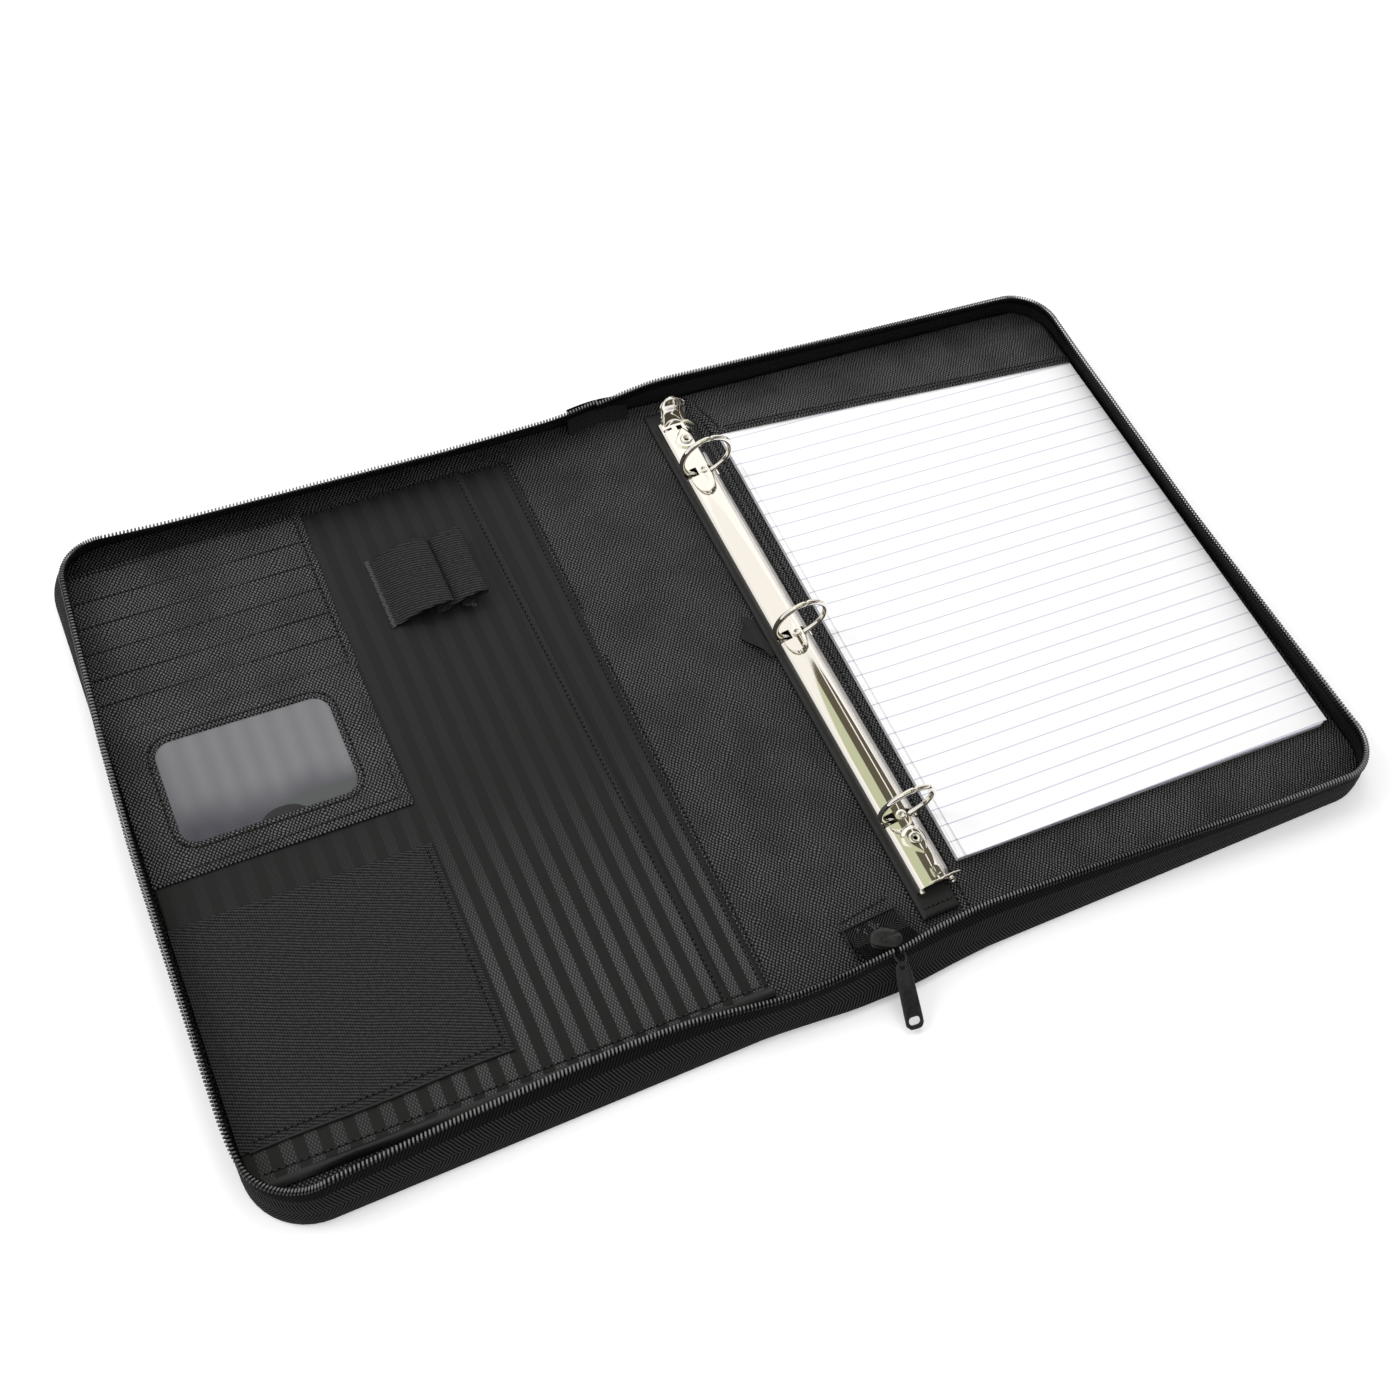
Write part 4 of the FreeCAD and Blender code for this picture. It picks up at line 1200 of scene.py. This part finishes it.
def pad_panel_height(x, y, sides=None):
    return 4.25 + waves(x, y, 55.0, 0.22, 6.0)


def pad_panel():
    """The leatherette panel behind the pad, sewn down beside the binder."""
    corners = [(45.2, -168.6), (280.6, -168.6), (280.6, 168.6), (52.9, 168.6)]
    flat_piece("pad_panel_sheet", "back_cover", corners, pad_panel_height, 0.7, PANEL, ["pad_panel"],
               "panel_leatherette", roll=0.45)
    seam("back_cover", (49.0, -158.0), (55.6, 134.0), pad_panel_height, 3.0, 2.1)


def band_height(x, y):
    over = step_up(x, 54.2, 61.5) * (1 - step_up(x, 277.0, 281.0))
    over = over * (1 - step_up(y, 146.0, 158.5))
    return 5.05 + 4.45 * over + waves(x, y, 48.0, 0.22, 7.0)


def pad_band():
    """The wide leatherette band that holds the pad's top."""
    corners = [(56.9, 135.3), (280.6, 119.4), (280.6, 168.0), (53.4, 168.6)]

    def height(x, y, sides):
        fold = 0.3 * (1 - step_up(sides["near"], 5.2, 6.4))
        return band_height(x, y) + fold

    flat_piece("pad_band_sheet", "back_cover", corners, height, 0.9, PANEL, ["pad_band"],
               "panel_leatherette", bends=(5.2, 6.4), roll=0.5)

    def lifted(x, y):
        return band_height(x, y) + 0.3

    seam("back_cover", (58.8, 138.9), (279.0, 123.2), lifted, 2.7, 1.9)
    seam("back_cover", (59.6, 136.9), (279.2, 121.2), lifted, 2.7, 1.9)
    seam("back_cover", (60.4, 138.9), (57.0, 163.0), band_height, 2.9, 2.0)


def pad_grid(shift_x, shift_y, turn, step):
    """Plan grid of one sheet of the pad, with its distances from the sheet's edges."""
    half = np.array(PAD_SIZE) / 2
    corners = [(-half[0], -half[1]), (half[0], -half[1]), (half[0], half[1]), (-half[0], half[1])]
    angle = math.radians(PAD_TURN + turn)
    turned = []
    for x, y in corners:
        turned.append((PAD_CENTRE[0] + shift_x + x * math.cos(angle) - y * math.sin(angle),
                       PAD_CENTRE[1] + shift_y + x * math.sin(angle) + y * math.cos(angle)))
    plan, sides = quad_grid(turned, step, bends=(2.0, 3.2, 4.6, 6.5, 9.0, 12.0))
    uv = np.dstack([sides["left"], sides["far"] - FIRST_RULE])
    return plan, sides, uv


def paper_sheet(name, shift, turn, base, curl, reach):
    """One loose sheet, which curls up along its left edge."""
    plan, sides, uv = pad_grid(*shift, turn, 5.0)
    rise = curl * np.exp(-sides["left"] / reach) * (0.45 + 0.55 * step_up(sides["far"], 20, 150))
    rise = rise + 0.5 * curl * np.exp(-sides["near"] / 9.0) * np.exp(-sides["left"] / 60.0)
    level = base + rise * step_up(sides["far"], 4, 40) + waves(plan[..., 0], plan[..., 1], 70.0, 0.08, 8.0)
    top = np.dstack([plan, level])
    piece = sheet_mesh(name, top, 0.16, PAPER, uv=uv)
    belongs(piece, "writing_pad", "paper")


def writing_pad():
    """The block of bound sheets and the loose ones that fan out on top of it."""
    plan, _, uv = pad_grid(-1.2, 0.0, 0.0, 12.0)
    top = np.dstack([plan, np.full(plan.shape[:2], 7.55)])
    bottom = top.copy()
    bottom[..., 2] = 5.02
    block = sheet_mesh("pad_sheets_block", top, 0, EDGES, uv=uv, bottom=bottom)
    belongs(block, "writing_pad", "paper", "pad_sheets")
    paper_sheet("pad_sheets_block_top", (-1.2, 0.05), 0.0, 7.72, 0.05, 10.0)
    paper_sheet("pad_sheets_low", (-0.3, 0.1), 0.1, 7.92, 0.2, 8.0)
    paper_sheet("pad_sheets_top", (1.7, 0.2), 0.4, 8.12, 0.9, 9.0)


# ---- ring binder --------------------------------------------------------------------------

BAR_X = sum(span("ring_housing")[k][0] for k in (0, 1)) / 2
BAR_LOW, BAR_HIGH = span("ring_housing")[0][1], span("ring_housing")[1][1]
RING_PITCH, MIDDLE_RING = 107.95, 5
RING_PLACES = [MIDDLE_RING - RING_PITCH, MIDDLE_RING, MIDDLE_RING + RING_PITCH]
RIVETS = (-116.0, 134.0)
RING_RADIUS, RING_HEIGHT, WIRE = 13.5, 23.4, 1.4
ARCH = [(-10, 6.5), (-9.9, 8.6), (-9.3, 10.3), (-8.0, 11.4), (-5.5, 12.3), (-2.6, 12.85), (0, 13.0),
        (2.2, 12.85), (3.9, 12.3), (5.2, 11.45), (6.4, 10.5), (8.3, 8.9), (9.4, 7.8), (10, 6.5)]


def binder_strip():
    """The stiffened leatherette strip that the housing is riveted to."""
    corners = [(25.2, -151.2), (44.4, -151.0), (44.8, 161.0), (26.2, 161.0)]

    def height(x, y, sides):
        return 6.35 - 0.5 * (1 - step_up(sides["any"], 0, 1.6))

    flat_piece("binder_strip_sheet", "ring_binder", corners, height, 1.5, SMOOTH,
               ["binder_strip", "binder_strip_board"],
               "outer_leatherette", bends=(0.9, 1.6), roll=0.3)
    stitch("ring_binder", [(27.4, -146.6, 6.35), (42.4, -146.4, 6.35)], 2.6, 1.8)


def pull_tab():
    """A limp ribbon tab that pokes out from under the strip."""
    plan, _ = quad_grid([(22.6, -0.6), (31.0, 2.0), (31.0, 20.0), (21.6, 26.8)], 0.8)
    reach = np.clip((30.0 - plan[..., 0]) / 8.0, 0, 1)
    belly = np.exp(-((plan[..., 1] - 15.0) / 8.0) ** 2)
    plan = plan.copy()
    plan[..., 0] -= 8.0 * belly * reach
    level = 4.4 + 2.2 * reach * np.exp(-((plan[..., 1] - 5.0) / 10.0) ** 2)
    level = level + 0.35 * np.sin(plan[..., 1] / 1.7 + plan[..., 0] / 2.9) * reach
    top = np.dstack([plan, level])
    piece = sheet_mesh("pull_tab_ribbon", top, 0.5, SATIN)
    developed(top)
    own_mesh(piece)
    belongs(piece, "ring_binder", "pocket_lining", "pull_tab")


def housing_rows():
    """Rows along the bar: close ones at holes and bosses, wide ones between."""
    rows = {BAR_LOW, BAR_LOW + 0.4, BAR_HIGH, BAR_HIGH - 0.4}
    for y in RING_PLACES:
        rows |= {y - 2.6, y + 2.6, y - 2.2, y + 2.2}
        rows |= {y + k for k in np.linspace(-2.0, 2.0, 11)}
    for y in RIVETS:
        rows |= {y + k for k in np.linspace(-9.5, 9.5, 39)}
    rows |= {BAR_HIGH - k for k in (1.6, 3.2, 4.6, 6.0, 7.4)}
    rows |= {BAR_LOW + k for k in (1.6, 2.6, 3.4, 6.0, 6.8, 8.0)}
    rows |= {y for y in np.arange(BAR_LOW + 12, BAR_HIGH - 8, 4.0)
             if min(abs(y - r) for r in [*RING_PLACES, *RIVETS]) > 11}
    return np.array(sorted(rows))


def housing_stamping(x, y):
    """Height of the raised and sunk marks in the housing's crown."""
    total = np.zeros(np.broadcast(x, y).shape)
    for place in RIVETS:
        sign = 1 if place < 0 else -1
        along = (y - place) * sign
        tail = np.clip(along * -1 - 1.0, 0, None)
        width = 6.2 - 0.75 * tail
        edge = np.hypot(x - 0.12 * tail, np.where(along > -1, along, 0)) - width
        total += 0.45 * (1 - step_up(edge, -1.2, 0.1)) * (along > -8.5)
    for place in RING_PLACES:
        radius = np.hypot(x, y - place)
        total += 0.35 * np.exp(-((radius - 1.5) / 0.55) ** 2) - 0.7 * (1 - step_up(radius, 0.4, 1.0))
    frame = np.maximum(np.abs(x - 1.5) - 2.0, np.abs(y - BAR_LOW - 4.7) - 1.9)
    total += 0.3 * np.exp(-(frame / 0.45) ** 2)
    return total


def housing():
    """The plated bar: a crowned channel with square ring holes, stamped bosses and a mouth."""
    profile = smooth_path([(x, 0, z) for x, z in ARCH], 61)
    rows = housing_rows()
    x = profile[:, 0][:, None] + np.zeros(len(rows))[None, :]
    z = profile[:, 2][:, None] + np.zeros(len(rows))[None, :]
    y = np.zeros(len(profile))[:, None] + rows[None, :]
    crown = step_up(9.0 - np.abs(x), 0.0, 2.0)
    top = np.dstack([BAR_X + x, y, z + housing_stamping(x, y) * crown])
    direction, _ = frames_along(profile)
    inward = np.column_stack([direction[:, 2], np.zeros(len(profile)), -direction[:, 0]])
    bottom = top + 0.7 * inward[:, None, :]
    middle_x = (x[:-1, :-1] + x[1:, 1:]) / 2
    middle_y = (y[:-1, :-1] + y[1:, 1:]) / 2
    keep = np.ones(middle_x.shape, bool)
    for place in RING_PLACES:
        beside = np.abs(middle_y - place) < 2.6
        keep &= ~(beside & (middle_x > -9.7) & (middle_x < -3.1))
        keep &= ~(beside & (middle_x < 9.7) & (middle_x > 3.1))
    for place in RIVETS:
        keep &= np.hypot(middle_x, middle_y - place) > 1.5
    keep &= ~((middle_y > BAR_HIGH - 7.4) & (np.abs(middle_x) < 1.6) & (middle_y < BAR_HIGH - 4.6))
    keep &= ~((np.abs(middle_x + 6.0) < 2.3) & (middle_y > BAR_HIGH - 6.0) & (middle_y < BAR_HIGH - 4.6))
    keep &= ~((np.abs(middle_x) < 6.3) & (middle_y > BAR_HIGH - 3.2))
    points, faces = cut_shell(top, bottom, keep)
    piece = add_mesh("housing_bar", points, faces, CHROME, sharp=42)
    belongs(piece, "ring_binder", "ring_chrome", "ring_housing")


def cut_shell(top, bottom, keep):
    """A closed sheet between two grids, with the cells left out that keep marks False."""
    rows, columns = top.shape[:2]
    count = rows * columns
    index = np.arange(count).reshape(rows, columns)
    corners = [index[:-1, :-1], index[1:, :-1], index[1:, 1:], index[:-1, 1:]]
    quads = np.stack(corners, axis=-1)[keep].tolist()
    faces = [list(quad) for quad in quads]
    faces += [[v + count for v in reversed(quad)] for quad in quads]
    used = {}
    for quad in quads:
        for a, b in zip(quad, quad[1:] + quad[:1]):
            used[(a, b)] = True
    for a, b in used:
        if (b, a) not in used:
            faces.append([b, a, a + count, b + count])
    points = np.concatenate([top.reshape(-1, 3), bottom.reshape(-1, 3)])
    alive = sorted({v for face in faces for v in face})
    number = {v: i for i, v in enumerate(alive)}
    return points[alive], [[number[v] for v in face] for face in faces]


def turned(profile, centre):
    """Points and faces of a closed shape turned round a vertical axis from (radius, z) pairs."""
    sides = 28
    angle = np.linspace(0, 2 * math.pi, sides, endpoint=False)
    points = []
    for radius, z in profile:
        for a in angle:
            points.append((centre[0] + radius * math.cos(a), centre[1] + radius * math.sin(a), z))
    return np.array(points), ring_faces(len(profile), sides)


def rivets():
    """Tubular rivets with rolled heads."""
    roll = [(1.0, 9.0), (1.0, 13.3), (1.25, 13.85), (1.9, 14.15), (2.7, 14.1), (3.2, 13.75), (3.3, 13.4),
            (1.6, 13.35), (1.5, 9.0)]
    parts = [turned(roll, (BAR_X, place)) for place in RIVETS]
    piece = solid("rivet_heads", parts, CHROME, sharp=60)
    belongs(piece, "ring_binder", "ring_chrome", "housing_rivets")


def half_rings(side, sign):
    """Three half rings of round wire, down through the housing to their blade."""
    stem = 4.4
    sweep = math.pi - math.asin(stem / RING_RADIUS)
    parts = []
    for place in RING_PLACES:
        path = []
        for angle in np.linspace(0.012, sweep, 44):
            path.append((BAR_X + sign * RING_RADIUS * math.sin(angle), place,
                         RING_HEIGHT + RING_RADIUS * math.cos(angle)))
        path += [(BAR_X + sign * stem, place, 9.4), (BAR_X + sign * stem, place, 8.0)]
        radius = np.full(len(path), WIRE)
        radius[0], radius[1] = WIRE * 0.72, WIRE * 0.97
        parts.append(tube(path, radius, 20, up=(0, 1, 0)))
    piece = solid(f"{side}_ring_wires", parts, CHROME, sharp=60)
    belongs(piece, f"{side}_blade", "ring_chrome", f"{side}_half_rings")


def blade_ends():
    """The blades' rolled ends, which show at the near corners of the housing."""
    parts = []
    for x, radius in ((-8.2, 1.45), (8.4, 1.35)):
        path = [(BAR_X + x, BAR_LOW + y, z) for y, z in ((1.5, 8.2), (-0.6, 8.2), (-2.0, 8.1))]
        parts.append(tube(smooth_path(path, 9), [radius] * 7 + [radius * 0.9, radius * 0.55], 14))
    lip = smooth_path([(29.6, -138.4, 8.2), (30.6, -138.0, 10.4), (34.4, -138.2, 12.1), (38.5, -138.4, 12.6),
                       (42.6, -138.0, 12.5), (46.5, -137.7, 12.3), (50.2, -137.6, 11.6)], 40)
    parts.append(tube(lip, np.interp(np.linspace(0, 1, 40), [0, 0.8, 1], [0.75, 0.7, 0.4]), 10))
    ball = smooth_path([(46.0, -137.0, 8.6), (46.0, -138.6, 8.6), (46.0, -140.2, 8.5)], 9)
    parts.append(tube(ball, [1.0, 0.9, 1.1, 1.5, 1.65, 1.6, 1.4, 1.0, 0.4], 14))
    piece = solid("blade_curls", parts, CHROME, sharp=60)
    belongs(piece, "ring_binder", "ring_chrome")


def lever():
    """The opener: a cupped thumb tongue with a rim, and a wing at its foot."""
    across = np.linspace(-1, 1, 25)
    up = np.linspace(0, 1, 29)
    spine_line = smooth_path([(0, 145.0, 9.0), (0, 148.2, 11.4), (0, 151.0, 15.2), (0, 153.6, 19.6),
                              (0, 156.6, 23.0)], 29)
    half = np.interp(up, [0, 0.2, 0.45, 0.75, 0.9, 1.0], [7.4, 6.6, 6.9, 7.4, 6.2, 2.8])
    top = np.zeros((len(across), len(up), 3))
    top[..., 0] = BAR_X - 1.0 + across[:, None] * half[None, :]
    rim = across[:, None] ** 4 * np.clip(up * 1.6, 0, 1)[None, :]
    lip = np.clip((up - 0.72) / 0.28, 0, 1)[None, :] ** 2
    hollow = 0.9 * np.exp(-((up - 0.5) / 0.22) ** 2)[None, :] * (1 - across[:, None] ** 2)
    cup = 2.2 * rim + 1.2 * lip - hollow
    top[..., 1] = spine_line[:, 1][None, :] - 0.8 * cup
    top[..., 2] = spine_line[:, 2][None, :] + 0.45 * cup
    bottom = top + np.array([0, 0.75, -0.55])
    piece = sheet_mesh("thumb_lever", top, 0, CHROME, bottom=bottom)
    wing = smooth_path([(BAR_X + 2.0, 146.2, 9.4), (BAR_X + 5.6, 147.0, 11.2), (BAR_X + 7.4, 146.0, 11.4),
                        (BAR_X + 9.6, 144.2, 10.6)], 14)
    points, faces = tube(wing, np.interp(np.linspace(0, 1, 14), [0, 0.6, 1], [1.3, 0.9, 0.25]), 10)
    tip = add_mesh("lever_wing", points, faces, CHROME)
    for part in (piece, tip):
        belongs(part, "opener", "ring_chrome")
    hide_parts("opener_lever")


# ---- spine ends and zip slider ------------------------------------------------------------

def near_fold():
    """The gusset tape folded into the notch at the spine's near end, with gathered creases."""
    columns, rows = 40, 22
    u = np.linspace(0, 1, columns)[:, None]
    v = np.linspace(0, 1, rows)[None, :]
    left = -12.0 + 1.0 * v
    right = 15.0 + 3.0 * v
    x = left + (right - left) * u
    far_edge = -141.6 + 1.3 * u
    y = far_edge + (-163.5 - far_edge) * v
    fans = np.sin(u * 46 + 6 * v) * 0.35 + np.sin(u * 23 - 9 * v) * 0.4
    rise = 4.55 + 10.8 * v ** 1.7 - 1.4 * np.sin(u * math.pi) * np.sin(v * math.pi)
    z = rise + fans * np.sin(v * math.pi) ** 0.7
    top = np.dstack([x, y + 0 * u, z])
    uv = np.dstack([x * 1.0, 30 * v + 0 * u])
    piece = sheet_mesh("near_gusset_fold", top, 0.7, TAPE, uv=uv)
    belongs(piece, "spine", "gusset_tape", "near_end_tape")
    developed(top)
    row = row_points((-11.6, -137.9), (14.8, -134.4), lambda x, y: float(lining_height(x, y)) + 0.05)
    stitch("spine", row, 2.6, 2.0)
    rim = smooth_path([(-12.2, -156.0, 4.9), (-12.2, -142.3, 4.9), (-11.4, -141.6, 4.95),
                       (14.6, -140.2, 4.95), (15.4, -141.0, 4.9), (17.0, -152.0, 4.9)], 60)
    points, faces = tube(rim, 0.45, 8)
    edge = add_mesh("notch_edge", points, faces, SMOOTH)
    belongs(edge, "spine", "lining_leatherette")


def far_fold():
    """The gusset tape's fold at the spine's far end, which stands in from the zip."""
    u = np.linspace(0, 1, 34)[:, None]
    v = np.linspace(0, 1, 14)[None, :]
    x = -16 + 34 * u + 0 * v
    y = 162.0 + 6.6 * v + 1.8 * np.sin(u * math.pi) * v
    z = 4.4 + 13.5 * v ** 1.4 + 0.5 * np.sin(u * 19) * np.sin(v * math.pi)
    top = np.dstack([x, y, z])
    uv = np.dstack([x, 20 * v + 0 * u])
    piece = sheet_mesh("far_gusset_fold", top, 0.7, TAPE, uv=uv)
    belongs(piece, "spine", "gusset_tape", "far_end_tape")
    developed(top)


def placed(piece, origin, yaw, drop):
    """Turns a piece made lying along +X about its origin: down by drop, round by yaw, then moves it."""
    turn = Matrix.Rotation(math.radians(yaw), 4, "Z") @ Matrix.Rotation(math.radians(drop), 4, "Y")
    piece.data.transform(Matrix.Translation(Vector(origin) * MM) @ turn)


def slider():
    """The zip slider's domed shield over its lower plate."""
    low, high = span("zip_slider")
    centre = (low + high) / 2
    outline = [(-7.4, -1.4), (-6.2, -3.6), (-3.0, -4.3), (1.5, -4.6), (5.2, -3.9), (7.3, -1.2), (7.2, 1.6),
               (4.6, 3.9), (0.6, 4.6), (-3.6, 4.2), (-6.6, 2.2)]
    edge = smooth_path([(x, y, 0) for x, y in outline + outline[:1]], 49)[:-1]
    loops = []
    dome = ((0.02, 2.0), (0.5, 1.98), (0.84, 1.9), (0.95, 1.6), (1.0, 1.1), (0.97, 0.5), (0.02, 0.4))
    for scale, z in dome:
        loops.append([(x * scale, y * scale, z + (0.35 if x * scale > 3.5 else 0) * (scale < 0.9))
                      for x, y, _ in edge])
    shield = ring_mesh("slider_shield", loops, ENAMEL)
    lower = [[(x * s * 0.9, y * s * 0.92, z) for x, y, _ in edge] for s, z in
             ((0.02, -1.4), (0.9, -1.4), (1.0, -1.9), (0.9, -2.4), (0.02, -2.4))]
    base = ring_mesh("slider_base", lower, ENAMEL)
    for part in (shield, base):
        placed(part, centre, -25, 0)
        belongs(part, "spine", "slider_metal")
    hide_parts("zip_slider")


def bail():
    """The slider's thin wire loop."""
    low, high = span("slider_bail")
    x, y, z = (low + high) / 2
    path = [(x - 2.6, high[1] - 0.8, high[2] - 0.6), (x - 2.2, y - 0.5, high[2] - 0.2),
            (x - 1.0, low[1] + 1.0, z), (x + 1.2, low[1] + 0.8, z - 0.4),
            (x + 2.8, y - 0.4, z + 0.6), (x + 2.6, high[1] - 0.6, high[2] - 0.6)]
    points, faces = tube(smooth_path(path, 40), 0.5, 12)
    piece = add_mesh("bail_wire", points, faces, ENAMEL)
    belongs(piece, "spine", "slider_metal", "slider_bail")


PULL_LENGTH, PULL_WIDTH = 30.0, 8.4


def pull_outline(inset):
    """The pull's outline: narrow and round at its pivot, wide with a blunt round end."""
    half = PULL_WIDTH / 2 - inset
    far = PULL_LENGTH - 1.2 - inset
    points = [(far, -half * 0.55), (far, half * 0.55), (far - 1.6, half * 0.92), (far - 4, half),
              (9, half * 0.93), (4.5, half * 0.86), (1.0, half * 0.72), (-1.1 + inset, half * 0.35),
              (-1.1 + inset, -half * 0.35), (1.0, -half * 0.72), (4.5, -half * 0.86), (9, -half * 0.93),
              (far - 4, -half), (far - 1.6, -half * 0.92)]
    smooth = smooth_path([(x, y, 0) for x, y in points + points[:1]], 91)[:-1]
    return [(x, y) for x, y, _ in smooth]


def puller():
    """The zip's pull: an enamelled plate with a raised rim and a slot near its end."""
    slot_hole = rounded_loop(PULL_LENGTH - 6.6, PULL_LENGTH - 3.0, -2.7, 2.7, 1.75)
    eye = rounded_loop(-0.1, 2.3, -1.2, 1.2, 1.15)
    web = plate("pull_plate", [pull_outline(0), slot_hole, eye], -0.45, 0.45, 0.2, ENAMEL)
    rim_path = [(x, y, 0.0) for x, y in pull_outline(0.5)]
    rim_points, rim_faces = tube(rim_path, 0.62, 12, closed=True)
    slot_path = [(x, y, 0.0) for x, y in rounded_loop(PULL_LENGTH - 7.0, PULL_LENGTH - 2.6, -3.1, 3.1, 2.0)]
    slot_points, slot_faces = tube(slot_path, 0.5, 12, closed=True)
    points, faces = joined([(rim_points, rim_faces), (slot_points, slot_faces)])
    rim = add_mesh("pull_rim", points, faces, ENAMEL)
    for part in (web, rim):
        placed(part, (0.0, -169.0, 17.2), -90 - 5, 31)
        belongs(part, "zip_pull", "slider_metal")
    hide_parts("zip_puller")


# ---- hidden CAD pieces --------------------------------------------------------------------

def dress_cad():
    """Finishes for the CAD solids that stay in view."""
    finishes = {"foam": BOARD, "board": BOARD, "hinge_plate": BLADE, "backboard": BOARD, "card": BOARD,
                "pad": PILE, "tape": BOARD, "strip": SMOOTH}
    for name, node in frame["nodes"].items():
        if node.hide_render:
            continue
        for word, material in finishes.items():
            if word in name:
                chosen = material
                break
        else:
            chosen = SMOOTH
        node.data.materials.clear()
        node.data.materials.append(chosen)


# ---- run ----------------------------------------------------------------------------------

def build_covers():
    for side, sign in (("front", -1), ("back", 1)):
        outer_skin(side, sign)
        lining(side, sign)
        wall(side, sign)
        teeth(side, sign)
    near_fold()
    far_fold()


def build_organiser():
    satin_pockets()
    pocket_binding()
    card_strips()
    id_panel()
    id_film()
    elastic_pocket()
    pen_loops()


def build_pad():
    pad_panel()
    writing_pad()
    pad_band()


def build_binder():
    binder_strip()
    pull_tab()
    housing()
    rivets()
    half_rings("left", -1)
    half_rings("right", 1)
    blade_ends()
    lever()


def build_zip():
    slider()
    bail()
    puller()


def build_sewing():
    for body in sorted(STITCHES):
        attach(sew(body, f"{body}_stitches"), body)


def add_camera():
    """A camera at the picture's viewing angle."""
    place = Vector((-0.2733, -0.3334, 0.6440))
    azimuth, elevation, roll = math.radians(-37.99), math.radians(57.29), math.radians(15.0)
    back = Vector((math.sin(azimuth) * math.cos(elevation), -math.cos(azimuth) * math.cos(elevation),
                   math.sin(elevation)))
    right = (-back).cross(Vector((0, 0, 1))).normalized()
    up = right.cross(-back)
    local_x = right * math.cos(roll) + up * math.sin(roll)
    local_y = up * math.cos(roll) - right * math.sin(roll)
    data = bpy.data.cameras.new("camera")
    data.sensor_width = 36.0
    data.lens = 40.83
    data.clip_start = 0.01
    data.clip_end = 20.0
    camera = bpy.data.objects.new("camera", data)
    matrix = Matrix((local_x, local_y, back)).transposed().to_4x4()
    matrix.translation = place
    camera.matrix_world = matrix
    bpy.context.collection.objects.link(camera)
    bpy.context.scene.camera = camera


def area_light(name, place, target, size, power):
    data = bpy.data.lights.new(name, "AREA")
    data.shape = "RECTANGLE"
    data.size, data.size_y = size
    data.energy = power
    light = bpy.data.objects.new(name, data)
    light.location = place
    light.rotation_euler = (Vector(target) - Vector(place)).to_track_quat("-Z", "Y").to_euler()
    bpy.context.collection.objects.link(light)
    return light


def reflector(name, corners, colour, strength):
    """A card above the table that only polished and glossy surfaces see."""
    points = [tuple(np.array(corner) / MM) for corner in corners]
    finish = Finish(name, (0, 0, 0), 1.0, Emission_Strength=strength, Specular_IOR_Level=0.0)
    finish.shader.inputs["Emission Color"].default_value = (*colour, 1)
    card = add_mesh(name, points, [(0, 1, 2, 3)], finish.material)
    card.visible_camera = False
    card.visible_diffuse = False
    card.visible_shadow = False


def overhead(name, left, right, near, far, colour, strength, height=1.5):
    """A glossy-only card on a ceiling; its sides are given as slopes from the object."""
    corners = [(left * height, near * height, height), (right * height, near * height, height),
               (right * height, far[1] * height, height), (left * height, far[0] * height, height)]
    reflector(name, corners, colour, strength)


def add_lights():
    """White surroundings, three softboxes, and the cards that the chrome bar mirrors."""
    world = bpy.data.worlds.new("studio")
    world.use_nodes = True
    world.node_tree.nodes["Background"].inputs["Color"].default_value = (1, 1, 1, 1)
    world.node_tree.nodes["Background"].inputs["Strength"].default_value = 0.85
    bpy.context.scene.world = world
    for name, place, size, power in (("key_softbox", (0.15, 0.7, 1.5), (0.5, 0.4), 2.5),
                                     ("left_softbox", (-1.2, 0.75, 1.15), (0.7, 0.7), 11.0),
                                     ("far_softbox", (0.3, 1.8, 1.4), (0.7, 0.5), 4.0)):
        area_light(name, place, (0, 0, 0), size, power).visible_glossy = False
    brown = (0.11, 0.095, 0.065)
    overhead("green_card", -0.36, 0.17, -0.9, (0.36, 0.43), (0.62, 0.66, 0.45), 0.9)
    overhead("brown_card", 0.17, 0.54, -0.9, (0.43, 0.5), brown, 1.0)
    overhead("brown_wing", 0.62, 8.0, -0.9, (0.51, 1.6), brown, 1.0)
    overhead("pale_card", -0.5, 2.2, 0.67, (1.7, 1.7), (1.0, 0.98, 0.95), 1.1, 1.51)
    overhead("pale_ceiling", -0.9, 2.2, -0.9, (0.9, 0.9), (1.0, 0.98, 0.95), 0.97, 1.53)
    near_wall = [(-2.5, -1.6, 0.02), (2.5, -1.6, 0.02), (2.5, -1.6, 1.5), (-2.5, -1.6, 1.5)]
    reflector("near_wall", near_wall, brown, 0.6)
    bpy.context.scene.view_settings.view_transform = "Standard"


def add_floor():
    side = 6000
    points = [(-side, -side, -0.05), (side, -side, -0.05), (side, side, -0.05), (-side, side, -0.05)]
    floor = add_mesh("floor", points, [(0, 1, 2, 3)], table_top())


build_covers()
build_organiser()
build_pad()
build_binder()
build_zip()
build_sewing()
dress_cad()
add_camera()
add_lights()
add_floor()
